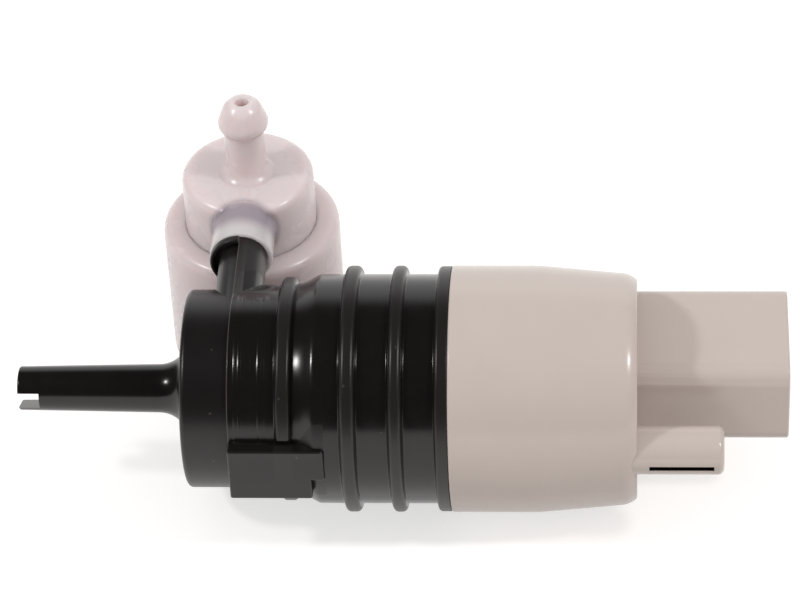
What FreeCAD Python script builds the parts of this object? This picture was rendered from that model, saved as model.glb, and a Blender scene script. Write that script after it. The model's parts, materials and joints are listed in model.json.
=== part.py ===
import FreeCAD, Part
import math
import os
import re

import Sketcher

# Dual-outlet windshield washer pump, lying on its side, in millimetres.
# X runs along the motor axis towards the connector, and X = 0 is the joint of housing and cap.
# Y points away from the viewer, towards the valve capsule. Z is up.

SIZES = {
    # Inlet cover and impeller chamber
    "cover_depth": 6.8,
    "cover_wall": 1.5,
    "cover_edge": 0.8,
    "chamber_radius": 12.6,
    "chamber_depth": 4.8,
    "inlet_length": 24.4,
    "inlet_tip_radius": 3.13,
    "inlet_root_radius": 3.42,
    "inlet_bore": 2.1,
    "flare_length": 2.5,
    "flare_height": 0.68,
    "slot_width": 2.4,
    "slot_depth": 3.1,
    "slot_offset": 1.15,
    "slot_angle": 26,
    # Ribbed housing
    "body_wall": 2.2,
    "barrel_wall": 2.35,
    "rib_height": 1.2,
    "rib_draft": 0.4,
    "rib_crown": 0.35,
    "first_rib_width": 2.35,
    "first_rib_height": 1.1,
    "second_rib_width": 2.4,
    "second_rib_gap": 4.3,
    "third_rib_width": 2.2,
    "third_rib_gap": 4.4,
    "shoulder_cover": 0.3,
    "slope_length": 3.3,
    "rib_to_can": 3.1,
    "flange_width": 1.8,
    "neck_length": 4.2,
    "neck_wall": 1.45,
    "groove_start": 1.3,
    "groove_width": 1.3,
    "groove_depth": 0.65,
    "joint_clearance": 0.1,
    "partition_wall": 3.0,
    "motor_nose_room": 4.8,
    "bay_ledge": 1.55,
    "seal_radius": 4.0,
    "seal_length": 3.0,
    "seal_wall": 1.4,
    "seal_inset": 1.4,
    "shaft_hole": 1.3,
    "key_height": 1.9,
    "key_length": 10.8,
    "key_top": 3.1,
    "key_bottom": 5.8,
    "key_nose_reach": 1.8,
    "key_nose_bottom": 2.3,
    "key_edge": 0.4,
    # Spigots to the valve capsule
    "spigot_inset": 0.2,
    "spigot_radius": 3.4,
    "spigot_bore": 2.0,
    "spigot_nose_radius": 2.9,
    "spigot_nose_length": 4.2,
    "spigot_play": 0.4,
    "spigot_flange_radius": 4.4,
    "spigot_flange_gap": 0.25,
    "spigot_flange_width": 0.85,
    "seal_ring_inset": 2.2,
    "ring_clearance": 0.02,
    # Motor cap, connector and vent peg
    "cap_room": 4.4,
    "cap_taper": 1.2,
    "cap_taper_length": 13.8,
    "cap_edge": 1.2,
    "cap_wall": 2.3,
    "cap_end_wall": 2.0,
    "shroud_length": 21.4,
    "shroud_width": 17.5,
    "shroud_height": 12.4,
    "shroud_offset": 5.2,
    "shroud_wall": 1.6,
    "shroud_edge": 1.3,
    "shroud_floor": 3.0,
    "shroud_lip": 0.3,
    "peg_radius": 3.4,
    "peg_length": 12.1,
    "peg_wall": 1.1,
    "peg_end_wall": 1.0,
    "peg_overhang": 0.2,
    "peg_edge": 0.6,
    "slit_start": 1.7,
    "slit_length": 9.0,
    "slit_height": 0.9,
    "slit_drop": 0.5,
    "cap_rib_count": 6,
    "cap_rib_width": 1.6,
    "cap_rib_inset": 1.8,
    "stop_depth": 1.65,
    # Motor
    "can_radius": 13.85,
    "can_wall": 0.6,
    "can_length": 38.0,
    "can_front_wall": 1.0,
    "can_clearance": 0.1,
    "nose_length": 2.0,
    "nose_wall": 1.0,
    "bearing_radius": 3.0,
    "shaft_radius": 1.0,
    "running_clearance": 0.03,
    "lip_clearance": 0.05,
    "washer_radius": 2.2,
    "washer_width": 0.5,
    "washer_gap": 0.15,
    "magnet_thickness": 1.8,
    "magnet_overlap": 3.0,
    "magnet_angle": 140,
    "clip_thickness": 0.5,
    "clip_inset": 2.5,
    "air_gap": 0.4,
    "core_front_room": 7.7,
    "core_hub": 3.2,
    "pole_count": 3,
    "pole_width": 3.4,
    "shoe_thickness": 1.7,
    "shoe_gap": 2.4,
    "coil_inset": 0.7,
    "coil_width": 10.0,
    "coil_overhang": 2.5,
    "coil_gap": 0.1,
    "coil_round": 1.4,
    "commutator_gap": 0.6,
    "commutator_length": 3.8,
    "commutator_radius": 3.4,
    "commutator_slot": 0.5,
    "commutator_slot_depth": 0.8,
    "bell_length": 3.0,
    "bell_gap": 0.4,
    "boss_wall": 2.0,
    "boss_length": 2.0,
    "brush_width": 2.4,
    "brush_lead": 1.0,
    "brush_gap": 0.1,
    "brush_length": 3.0,
    "guide_gap": 0.05,
    "guide_wall": 0.9,
    "guide_length": 2.2,
    "tab_reach": 2.2,
    "blade_thickness": 0.8,
    "blade_width": 2.8,
    "leaf_thickness": 0.3,
    "leaf_width": 1.8,
    "pin_spacing": 6.4,
    "pin_length": 12.8,
    "pin_gap": 0.6,
    "strip_gap": 0.5,
    # Impeller
    "impeller_gap": 2.8,
    "impeller_front_gap": 1.7,
    "impeller_back_gap": 1.2,
    "impeller_plate": 1.2,
    "impeller_hub": 2.8,
    "hub_setback": 0.4,
    "hub_cover": 0.6,
    "blade_count": 8,
    "vane_thickness": 1.1,
    # Valve capsule
    "capsule_distance": 31.6,
    "valve_radius": 13.0,
    "shoulder_gap": 0.45,
    "shoulder_width": 3.35,
    "shoulder_edge": 1.2,
    "valve_base": 1.8,
    "skirt_wall": 1.6,
    "skirt_gap": 1.4,
    "skirt_ceiling": 2.2,
    "cup_wall": 1.8,
    "bonnet_clearance": 0.08,
    "bonnet_rise": 4.0,
    "bonnet_edge": 1.1,
    "bonnet_side": 1.75,
    "bonnet_wall": 1.6,
    "collar_wall": 0.7,
    "collar_bore": 3.85,
    "collar_reach": 2.2,
    "collar_inset": 0.7,
    "socket_end_wall": 1.2,
    "seat_radius": 3.0,
    "seat_bore": 1.5,
    "seat_gap": 0.75,
    "diaphragm_thickness": 0.8,
    "poppet_radius": 3.4,
    "poppet_waist": 1.5,
    "poppet_half": 1.0,
    "poppet_play": 0.06,
    "nipple_base": 3.5,
    "nipple_cone": 0.9,
    "nipple_stem": 2.92,
    "nipple_stem_length": 7.8,
    "barb_radius": 3.65,
    "barb_undercut": 0.8,
    "barb_land": 0.6,
    "barb_cone": 2.6,
    "barb_nose": 2.5,
    "nose_round": 0.4,
    "nipple_bore": 1.2,
    "lower_nipple_rise": 0.9,
    "elbow_wall": 2.0,
}

# Sizes that follow from others, all measured from the joint of housing and cap or from an axis
FORMULAS = {
    "motor_bore": "can_radius + can_clearance",
    "barrel_radius": "motor_bore + barrel_wall",
    "rib_radius": "barrel_radius + rib_height",
    "neck_radius": "motor_bore + neck_wall",
    "cap_socket": "neck_radius + joint_clearance",
    "groove_floor": "neck_radius - groove_depth",
    "bay_radius": "motor_bore - bay_ledge",
    "body_radius": "chamber_radius + body_wall",
    "cover_radius": "chamber_radius + cover_wall",
    "flare_radius": "inlet_root_radius + flare_height",
    "first_rib_radius": "body_radius + first_rib_height",
    "third_rib_start": "flange_width + third_rib_gap + third_rib_width",
    "second_rib_start": "third_rib_start + second_rib_gap + second_rib_width",
    "can_front": "second_rib_start + rib_to_can",
    "slope_end": "can_front + shoulder_cover",
    "first_rib_start": "slope_end + slope_length + first_rib_width",
    "partition_back": "can_front + motor_nose_room",
    "chamber_floor": "partition_back + partition_wall",
    "seal_floor": "chamber_floor - seal_inset",
    "seal_mouth": "seal_floor - seal_length",
    "seam_back": "chamber_floor + chamber_depth",
    "cover_face": "seam_back + cover_depth",
    "inlet_tip": "cover_face + inlet_length",
    "key_front": "body_radius + key_height",
    "key_nose_length": "key_length + key_nose_reach",
    "spigot_height": "chamber_radius - spigot_bore - spigot_inset",
    "collar_start": "capsule_distance - valve_radius - collar_reach",
    "collar_end": "capsule_distance - bonnet_bore + collar_inset",
    "collar_radius": "collar_bore + collar_wall",
    "socket_end": "collar_end - socket_end_wall",
    "spigot_end": "socket_end - spigot_play",
    "spigot_nose_start": "spigot_end - spigot_nose_length",
    "spigot_flange_end": "collar_start - spigot_flange_gap",
    "seal_ring_place": "spigot_end - seal_ring_inset",
    "can_rear": "can_length - can_front",
    "can_bore": "can_radius - can_wall",
    "can_inside": "can_front - can_front_wall",
    "nose_end": "can_front + nose_length",
    "nose_radius": "bearing_radius + nose_wall",
    "shaft_bore": "shaft_radius + running_clearance",
    "cap_inside": "can_rear + cap_room",
    "cap_length": "cap_inside + cap_end_wall",
    "cap_end_radius": "rib_radius - cap_taper",
    "cap_bore": "rib_radius - cap_wall",
    "cap_rib_start": "neck_length + cap_rib_inset",
    "stop_radius": "can_bore - stop_depth",
    "shroud_end": "cap_length + shroud_length",
    "socket_floor": "cap_length + shroud_floor",
    "peg_offset": "cap_end_radius - peg_radius + peg_overhang",
    "peg_bore": "peg_radius - peg_wall",
    "bell_start": "can_rear - bell_length",
    "boss_radius": "bearing_radius + boss_wall",
    "boss_end": "can_rear + boss_length",
    "commutator_end": "bell_start - bell_gap",
    "commutator_start": "commutator_end - commutator_length",
    "core_end": "commutator_start - commutator_gap - coil_overhang",
    "core_start": "core_front_room - can_inside",
    "coil_start": "core_start - coil_overhang",
    "coil_end": "core_end + coil_overhang",
    "magnet_start": "core_start - magnet_overlap",
    "magnet_end": "core_end + magnet_overlap",
    "magnet_bore": "can_bore - magnet_thickness",
    "core_radius": "magnet_bore - air_gap",
    "shoe_bore": "core_radius - shoe_thickness",
    "coil_inner": "core_hub + coil_inset",
    "coil_outer": "shoe_bore - coil_gap",
    "brush_start": "commutator_start + brush_lead",
    "brush_low": "commutator_radius + brush_gap",
    "brush_high": "brush_low + brush_length",
    "tab_radius": "shroud_offset + pin_spacing / 2 + blade_thickness / 2",
    "tab_end": "can_rear + tab_reach",
    "pin_reach": "can_rear + pin_gap",
    "pin_tip": "socket_floor + pin_length",
    "strip_end": "cap_inside - strip_gap",
    "strip_start": "strip_end - blade_thickness",
    "impeller_radius": "chamber_radius - impeller_gap",
    "impeller_front": "cover_face - cover_wall - impeller_front_gap",
    "impeller_back": "chamber_floor + impeller_back_gap",
    "plate_front": "impeller_back + impeller_plate",
    "hub_front": "impeller_front - hub_setback",
    "shaft_nose": "hub_front - hub_cover",
    "shaft_rear": "boss_end - hub_cover",
    "valve_bottom": "rib_radius",
    "valve_shoulder": "spigot_height - collar_radius - shoulder_gap",
    "bonnet_radius": "valve_radius - shoulder_width",
    "bonnet_top": "spigot_height + bonnet_rise",
    "lower_nipple_drop": "spigot_height - lower_nipple_rise",
    "bonnet_bore": "bonnet_radius - bonnet_side",
    "well_radius": "bonnet_radius + bonnet_clearance",
    "cup_radius": "valve_radius - skirt_wall - skirt_gap",
    "cup_bore": "cup_radius - cup_wall",
    "seat_face": "poppet_half + seat_gap",
    "elbow_radius": "nipple_bore + elbow_wall",
    "diaphragm_half": "diaphragm_thickness / 2",
}

doc = FreeCAD.newDocument("washer_pump")
sheet = doc.addObject("Spreadsheet::Sheet", "Sizes")
for row, (name, value) in enumerate(SIZES.items(), 1):
    sheet.set("A%d" % row, name)
    sheet.set("B%d" % row, str(value))
    sheet.setAlias("B%d" % row, name)
doc.recompute()

V = FreeCAD.Vector
nodes = []


def cell(name):
    """A size name as a cell of the sheet, or as the formula that it stands for."""
    word = name.group(0)
    return "(%s)" % bound(FORMULAS[word]) if word in FORMULAS else "Sizes." + word


def bound(text):
    """Turn the size names in a formula into cells of the sheet."""
    return re.sub(r"[a-z]+(_[a-z]+)+", cell, text)


def bind(item, **formulas):
    """Bind properties of an object to formulas, with __ standing for a dot."""
    for prop, text in formulas.items():
        item.setExpression(prop.replace("__", "."), bound(text))
    return item


def place(item, x="0", y="0", z="0"):
    """Bind the place of an object."""
    return bind(item, Placement__Base__x=x, Placement__Base__y=y, Placement__Base__z=z)


def node(item, name):
    """Name a finished sub-part, which is written to its own file."""
    item.Label = name
    nodes.append(item)
    return item


def box(name, x, y, z):
    """A block between pairs of formulas along X, Y and Z."""
    item = doc.addObject("Part::Box", name)
    bind(item, Length="%s - (%s)" % (x[1], x[0]), Width="%s - (%s)" % (y[1], y[0]),
         Height="%s - (%s)" % (z[1], z[0]))
    return place(item, x[0], y[0], z[0])


def rod(name, radius, start, end, axis="X", at=("0", "0")):
    """A cylinder along X, Y or Z, with at giving its other two coordinates in order."""
    item = doc.addObject("Part::Cylinder", name)
    bind(item, Radius=radius, Height="%s - (%s)" % (end, start))
    if axis == "X":
        item.Placement = FreeCAD.Placement(V(), FreeCAD.Rotation(V(0, 1, 0), 90))
        return place(item, start, at[0], at[1])
    if axis == "Y":
        item.Placement = FreeCAD.Placement(V(), FreeCAD.Rotation(V(1, 0, 0), -90))
        return place(item, at[0], start, at[1])
    return place(item, at[0], at[1], start)


def fuse(name, *items):
    """Several shapes as one."""
    item = doc.addObject("Part::MultiFuse", name)
    item.Shapes = list(items)
    item.Refine = True
    return item


def cut(name, base, *tools):
    """A shape less one or more others."""
    item = doc.addObject("Part::Cut", name)
    item.Base = base
    item.Tool = tools[0] if len(tools) == 1 else fuse(name + "_tools", *tools)
    return item


def common(name, base, tool):
    """What two shapes share."""
    item = doc.addObject("Part::Common", name)
    item.Base = base
    item.Tool = tool
    return item


def rounded(name, base, size, chosen):
    """A shape with the chosen edges rounded, where chosen tests an edge."""
    doc.recompute()
    radius = sheet.get(size)
    item = doc.addObject("Part::Fillet", name)
    item.Base = base
    item.Edges = [(i, radius, radius) for i, edge in enumerate(base.Shape.Edges, 1) if chosen(edge)]
    return item


def turned(name, outline, axis="X", edges=()):
    """A turned piece from (along, radius) formulas, with edges as (along, radius, rounding)."""
    body = doc.addObject("PartDesign::Body", name)
    sketch = body.newObject("Sketcher::SketchObject", name + "_outline")
    role = "XY_Plane" if axis == "X" else "XZ_Plane"
    plane = [part for part in body.Origin.OriginFeatures if part.Role == role][0]
    sketch.AttachmentSupport = (plane, [""])
    sketch.MapMode = "FlatFace"
    count = len(outline)
    reach = SIZES["can_radius"]
    turns = [i * math.tau / count for i in range(count)]
    rough = [V(reach * math.cos(turn), reach * (2 + math.sin(turn)), 0) for turn in turns]
    for i in range(count):
        sketch.addGeometry(Part.LineSegment(rough[i], rough[(i + 1) % count]), False)
    for i in range(count):
        sketch.addConstraint(Sketcher.Constraint("Coincident", (i - 1) % count, 2, i, 1))
    for i, (along, radius) in enumerate(outline):
        pair = (along, radius) if axis == "X" else (radius, along)
        for kind, text, axis_line in zip(("DistanceX", "DistanceY"), pair, (-2, -1)):
            if text == "0":
                sketch.addConstraint(Sketcher.Constraint("PointOnObject", i, 1, axis_line))
                continue
            index = sketch.addConstraint(Sketcher.Constraint(kind, -1, 1, i, 1, 10.0))
            sketch.setExpression("Constraints[%d]" % index, bound(text))
    turn = body.newObject("PartDesign::Revolution", name + "_turn")
    turn.Profile = sketch
    turn.ReferenceAxis = (sketch, ["H_Axis" if axis == "X" else "V_Axis"])
    turn.Angle = 360
    doc.recompute()
    for number, (along, radius, rounding) in enumerate(edges, 1):
        ring_along, ring_radius = worked_out(along), worked_out(radius)
        names = ["Edge%d" % i for i, edge in enumerate(turn.Shape.Edges, 1)
                 if is_ring(edge, axis, ring_along, ring_radius)]
        fillet = body.newObject("PartDesign::Fillet", "%s_edge_%d" % (name, number))
        fillet.Base = (turn, names)
        bind(fillet, Radius=rounding)
        body.Tip = fillet
        doc.recompute()
        turn = fillet
    return body


probe = doc.addObject("Part::Vertex", "probe")


def worked_out(text):
    """The present value of a formula, read back from a point bound to it."""
    bind(probe, X=text)
    probe.recompute()
    return float(probe.X)


def is_ring(edge, axis, along, radius):
    """Whether an edge is the circle of this radius about the axis at this station."""
    if not isinstance(edge.Curve, Part.Circle):
        return False
    centre = edge.Curve.Center
    station = centre.x if axis == "X" else centre.z
    off_axis = math.hypot(centre.y, centre.z) if axis == "X" else math.hypot(centre.x, centre.y)
    return abs(station - along) < 1e-4 and off_axis < 1e-4 and abs(edge.Curve.Radius - radius) < 1e-4


def around(name, item, count, axis=V(1, 0, 0)):
    """Copies of a shape spread evenly about the motor axis."""
    doc.recompute()
    copies = [item]
    for i in range(1, int(count)):
        copy = doc.addObject("Part::Feature", "%s_%d" % (name, i + 1))
        shape = item.Shape.copy()
        shape.rotate(V(), axis, 360.0 * i / count)
        copy.Shape = shape
        copies.append(copy)
    return copies


# Spigots: two tangential outlet tubes, moulded half on the cover and half on the housing.
spigot_tubes = []
spigot_bores = []
for side, sign in (("upper", ""), ("lower", "-")):
    at = ("-seam_back", sign + "spigot_height")
    spigot_tubes.append(rod("spigot_root_" + side, "spigot_radius", "0", "spigot_nose_start", "Y", at))
    spigot_tubes.append(rod("spigot_nose_" + side, "spigot_nose_radius", "0", "spigot_end", "Y", at))
    spigot_bores.append(rod("spigot_bore_" + side, "spigot_bore", "0", "spigot_end", "Y", at))
spigots = fuse("spigots", *spigot_tubes)
front_half = box("front_half", ("-cover_face", "-seam_back"), ("0", "spigot_end"),
                 ("-spigot_height * 2", "spigot_height * 2"))
rear_half = box("rear_half", ("-seam_back", "-seam_back + cover_depth"), ("0", "spigot_end"),
                ("-spigot_height * 2", "spigot_height * 2"))

# Inlet cover
cover_shell = turned("cover_shell", [
    ("-inlet_tip", "inlet_bore"),
    ("-inlet_tip", "inlet_tip_radius"),
    ("-cover_face - flare_length", "inlet_root_radius"),
    ("-cover_face - flare_length * 0.36", "inlet_root_radius * 0.7 + flare_radius * 0.3"),
    ("-cover_face", "flare_radius"),
    ("-cover_face", "cover_radius"),
    ("-seam_back", "cover_radius"),
    ("-seam_back", "chamber_radius"),
    ("-cover_face + cover_wall", "chamber_radius"),
    ("-cover_face + cover_wall", "inlet_bore"),
], edges=[("-cover_face", "cover_radius", "cover_edge")])
spigot_collars = []
for side, sign in (("upper", ""), ("lower", "-")):
    disc = rod("spigot_flange_" + side, "spigot_flange_radius", "spigot_flange_end - spigot_flange_width",
               "spigot_flange_end", "Y", ("-seam_back", sign + "spigot_height"))
    spigot_collars.append(disc)
cover_tubes = common("cover_tubes", fuse("front_tubes", spigots, *spigot_collars), front_half)
cover_room = rod("cover_room", "chamber_radius", "-cover_face + cover_wall", "-seam_back")
inlet_slot = box("inlet_slot", ("-inlet_tip", "-inlet_tip + slot_depth"),
                 ("-inlet_root_radius * 2", "inlet_root_radius * 2"),
                 ("-slot_offset - slot_width / 2", "-slot_offset + slot_width / 2"))
slot_turn = FreeCAD.Rotation(V(1, 0, 0), -SIZES["slot_angle"])
slot_blank = doc.addObject("Part::Compound", "slot_blank")
slot_blank.Links = [inlet_slot]
slot_blank.Placement = FreeCAD.Placement(V(), slot_turn)
node(cut("cover", fuse("cover_blank", cover_shell, cover_tubes), cover_room, slot_blank,
         *spigot_bores), "inlet_cover")

# Ribbed pump housing
rib_outline = []
for start, width, radius, before in (
        ("first_rib_start", "first_rib_width", "first_rib_radius", "body_radius"),
        ("second_rib_start", "second_rib_width", "rib_radius", "barrel_radius"),
        ("third_rib_start", "third_rib_width", "rib_radius", "barrel_radius")):
    rib_outline += [
        ("-" + start, before),
        ("-%s + rib_draft" % start, radius + " - rib_crown"),
        ("-%s + rib_draft + rib_crown" % start, radius),
        ("-%s + %s - rib_draft - rib_crown" % (start, width), radius),
        ("-%s + %s - rib_draft" % (start, width), radius + " - rib_crown"),
        ("-%s + %s" % (start, width), before),
    ]
    if start == "first_rib_start":
        rib_outline += [("-slope_end", "barrel_radius")]
body_shell = turned("body_shell", [("-seam_back", "body_radius")] + rib_outline + [
    ("-flange_width", "barrel_radius"),
    ("-flange_width", "rib_radius"),
    ("0", "rib_radius"),
    ("0", "neck_radius"),
    ("groove_start", "neck_radius"),
    ("groove_start", "groove_floor"),
    ("groove_start + groove_width", "groove_floor"),
    ("groove_start + groove_width", "neck_radius"),
    ("neck_length", "neck_radius"),
    ("neck_length", "0"),
    ("-seam_back", "0"),
])
body_room = turned("body_room", [
    ("neck_length + flange_width", "0"),
    ("neck_length + flange_width", "motor_bore"),
    ("-can_front", "motor_bore"),
    ("-can_front", "bay_radius"),
    ("-partition_back", "bay_radius"),
    ("-partition_back", "seal_radius + seal_wall"),
    ("-seal_mouth", "seal_radius + seal_wall"),
    ("-seal_mouth", "seal_radius"),
    ("-seal_floor", "seal_radius"),
    ("-seal_floor", "shaft_hole"),
    ("-chamber_floor", "shaft_hole"),
    ("-chamber_floor", "chamber_radius"),
    ("-cover_face", "chamber_radius"),
    ("-cover_face", "0"),
])
key_block = box("key_block", ("-seam_back", "-seam_back + key_length"), ("-key_front", "-chamber_radius"),
                ("-key_bottom", "key_top"))
key_nose = box("key_nose", ("-seam_back", "-seam_back + key_nose_length"),
               ("-key_front", "-chamber_radius"), ("-key_nose_bottom", "key_top"))
key = rounded("key", fuse("key_blank", key_block, key_nose), "key_edge",
              lambda edge: edge.BoundBox.YMax < -worked_out("key_front") + 1e-4)
body_tubes = common("body_tubes", spigots, rear_half)
node(cut("housing", fuse("housing_blank", body_shell, key, body_tubes), body_room, *spigot_bores),
     "pump_body")

# Motor cap with connector shroud and vent peg
cap_shell = turned("cap_shell", [
    ("0", "cap_socket"),
    ("0", "rib_radius"),
    ("cap_length - cap_taper_length", "rib_radius"),
    ("cap_length", "cap_end_radius"),
    ("cap_length", "0"),
    ("cap_inside", "0"),
    ("cap_inside", "cap_bore"),
    ("neck_length + joint_clearance", "cap_bore"),
    ("neck_length + joint_clearance", "cap_socket"),
], edges=[("cap_length", "cap_end_radius", "cap_edge")])
grip = box("grip", ("cap_rib_start", "cap_inside"),
           ("motor_bore", "cap_bore + joint_clearance"),
           ("-cap_rib_width / 2", "cap_rib_width / 2"))
stop = box("stop", ("can_rear", "cap_inside"),
           ("stop_radius", "cap_bore + joint_clearance"),
           ("-cap_rib_width / 2", "cap_rib_width / 2"))
rest_rib = fuse("rest_rib", grip, stop)
cap_ribs = around("rest_rib", rest_rib, SIZES["cap_rib_count"])
SHROUD_Y = ("shroud_offset - shroud_width / 2", "shroud_offset + shroud_width / 2")
shroud_block = box("shroud_block", ("cap_inside", "shroud_end"), SHROUD_Y,
                   ("-shroud_height / 2", "shroud_height / 2"))
shroud_sides = rounded("shroud_sides", shroud_block, "shroud_edge",
                       lambda edge: edge.BoundBox.XLength > edge.BoundBox.YLength + edge.BoundBox.ZLength)
shroud = rounded("shroud", shroud_sides, "shroud_lip",
                 lambda edge: edge.BoundBox.XMin > shroud_block.Shape.BoundBox.XMax - 1e-4)
socket_block = box("socket_block", ("socket_floor", "shroud_end + shroud_wall"),
                   (SHROUD_Y[0] + " + shroud_wall", SHROUD_Y[1] + " - shroud_wall"),
                   ("-shroud_height / 2 + shroud_wall", "shroud_height / 2 - shroud_wall"))
socket_room = rounded("socket_room", socket_block, "shroud_lip",
                      lambda edge: edge.BoundBox.XLength > edge.BoundBox.YLength + edge.BoundBox.ZLength)
peg_tube = rod("peg_tube", "peg_radius", "cap_length - cap_end_wall / 2", "cap_length + peg_length",
               "X", ("-peg_offset", "0"))
peg = rounded("peg", peg_tube, "peg_edge",
              lambda edge: edge.BoundBox.XMin > peg_tube.Shape.BoundBox.XMax - 1e-4)
peg_room = rod("peg_room", "peg_bore", "cap_length - cap_end_wall * 2",
               "cap_length + peg_length - peg_end_wall", "X", ("-peg_offset", "0"))
peg_slit = box("peg_slit", ("cap_length + slit_start", "cap_length + slit_start + slit_length"),
               ("-peg_offset - peg_radius * 2", "-peg_offset"),
               ("-slit_drop - slit_height / 2", "-slit_drop + slit_height / 2"))
blade_slots = []
for side, sign in (("front", "-"), ("back", "+")):
    centre = "shroud_offset %s pin_spacing / 2" % sign
    slot = box("blade_slot_" + side, ("cap_inside", "socket_floor"),
               (centre + " - blade_thickness / 2", centre + " + blade_thickness / 2"),
               ("-blade_width / 2", "blade_width / 2"))
    blade_slots.append(slot)
node(cut("cap", fuse("cap_blank", cap_shell, shroud, peg, *cap_ribs), socket_room, peg_room, peg_slit,
         *blade_slots), "motor_cap")


def ring(name, along, inner, outer, axis="X", at=("0", "0")):
    """A round seal ring between an inner and an outer radius."""
    item = doc.addObject("Part::Torus", name)
    bind(item, Radius1="(%s + %s) / 2" % (inner, outer),
         Radius2="(%s - (%s)) / 2 - ring_clearance" % (outer, inner))
    if axis == "X":
        item.Placement = FreeCAD.Placement(V(), FreeCAD.Rotation(V(0, 1, 0), 90))
        return place(item, along, at[0], at[1])
    item.Placement = FreeCAD.Placement(V(), FreeCAD.Rotation(V(1, 0, 0), -90))
    return place(item, at[0], along, at[1])


# Seals of the housing
node(ring("cap_ring", "groove_start + groove_width / 2", "groove_floor", "cap_socket"), "cap_seal")
node(turned("lip_seal", [
    ("-seal_floor", "shaft_hole"),
    ("-seal_floor", "seal_radius"),
    ("-seal_mouth", "seal_radius"),
    ("-seal_mouth", "seal_radius * 0.75"),
    ("-seal_mouth - seal_length * 0.6", "seal_radius * 0.75"),
    ("-seal_mouth - seal_length * 0.6", "shaft_hole * 1.4"),
    ("-seal_mouth - seal_length * 0.3", "shaft_hole"),
    ("-seal_mouth - seal_length * 0.3", "shaft_radius + lip_clearance"),
    ("-seal_mouth - seal_length * 0.55", "shaft_radius + lip_clearance"),
]), "shaft_seal")
for side, sign in (("upper", ""), ("lower", "-")):
    at = ("-seam_back", sign + "spigot_height")
    node(ring("spigot_ring_" + side, "seal_ring_place", "spigot_nose_radius", "collar_bore", "Y", at),
         "spigot_seal_" + side)

# Impeller with straight vanes, which pumps either way round
wheel = turned("wheel", [
    ("-hub_front", "0"),
    ("-hub_front", "impeller_hub"),
    ("-plate_front", "impeller_hub"),
    ("-plate_front", "impeller_radius"),
    ("-impeller_back", "impeller_radius"),
    ("-impeller_back", "0"),
])
vane = box("vane", ("-impeller_front", "-plate_front + impeller_plate / 2"),
           ("impeller_hub - vane_thickness", "impeller_radius"),
           ("-vane_thickness / 2", "vane_thickness / 2"))
vanes = around("vane", vane, SIZES["blade_count"])
shaft_hole = rod("impeller_hole", "shaft_radius", "-shaft_nose", "-impeller_back")
node(cut("impeller", fuse("impeller_blank", wheel, *vanes), shaft_hole), "impeller")

# Motor shaft, washers and bearings
node(rod("shaft", "shaft_radius", "-shaft_nose", "shaft_rear"), "motor_shaft")


def bush(name, start, end, radius, bore):
    """A plain ring along X, cut from a rod."""
    solid = rod(name + "_blank", radius, start, end)
    hole = rod(name + "_bore", bore, start, end)
    return cut(name, solid, hole)


node(bush("front_bush", "-nose_end", "-can_inside", "bearing_radius", "shaft_bore"), "front_bearing")
node(bush("rear_bush", "bell_start", "boss_end - boss_length / 10", "bearing_radius",
          "shaft_bore"), "rear_bearing")
node(bush("front_spacer", "-can_inside + washer_gap", "-can_inside + washer_gap + washer_width",
          "washer_radius", "shaft_radius"), "front_washer")
node(bush("rear_spacer", "commutator_end",
          "bell_start - washer_gap", "washer_radius", "shaft_radius"), "rear_washer")

# Motor can, magnets and their spring clips
can_cup = turned("can_cup", [
    ("-nose_end", "bearing_radius"),
    ("-nose_end", "nose_radius"),
    ("-can_front", "nose_radius"),
    ("-can_front", "can_radius"),
    ("can_rear", "can_radius"),
    ("can_rear", "can_bore"),
    ("-can_inside", "can_bore"),
    ("-can_inside", "bearing_radius"),
])
node(can_cup, "motor_can")


def shell_arc(name, start, end, outer, inner, angle, middle):
    """Part of a tube about the motor axis: its angle is a formula, its middle is in degrees from +Y."""
    length = "%s - (%s)" % (end, start)
    solid = doc.addObject("Part::Cylinder", name + "_outer")
    bind(solid, Radius=outer, Height=length, Angle=angle)
    hole = doc.addObject("Part::Cylinder", name + "_inner")
    bind(hole, Radius=inner, Height=length, Angle="360")
    arc = cut(name + "_arc", solid, hole)
    turn = doc.addObject("Part::Compound", name)
    turn.Links = [arc]
    doc.recompute()
    half = float(solid.Angle) / 2
    spin = FreeCAD.Rotation(V(1, 0, 0), middle - half)
    turn.Placement = FreeCAD.Placement(V(), spin * FreeCAD.Rotation(V(1, 1, 1), 120))
    return place(turn, start)


for side, middle in (("upper", 90), ("lower", 270)):
    node(shell_arc("magnet_" + side, "magnet_start", "magnet_end", "can_bore", "magnet_bore",
                   "magnet_angle", middle), "magnet_" + side)
for side, middle in (("back", 0), ("front", 180)):
    node(shell_arc("clip_" + side, "magnet_start + clip_inset", "magnet_end - clip_inset", "can_bore",
                   "can_bore - clip_thickness", "180 - magnet_angle", middle), "magnet_clip_" + side)

# Armature: a stack with three poles, a coil round each, and a commutator
core_ring = bush("core_ring", "core_start", "core_end", "core_radius", "shoe_bore")
core_hub = rod("core_hub", "core_hub", "core_start", "core_end")
pole = box("pole", ("core_start", "core_end"), ("0", "core_radius - shoe_thickness / 2"),
           ("-pole_width / 2", "pole_width / 2"))
poles = around("pole", pole, SIZES["pole_count"])
shoe_gap = box("shoe_gap", ("coil_start", "coil_end"), ("-core_radius * 2", "-core_hub - coil_gap"),
               ("-shoe_gap / 2", "shoe_gap / 2"))
shoe_gaps = around("shoe_gap", shoe_gap, SIZES["pole_count"])
core_hole = rod("core_hole", "shaft_radius", "core_start", "core_end")
node(cut("core", fuse("core_blank", core_ring, core_hub, *poles), core_hole, *shoe_gaps), "armature_core")

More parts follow.
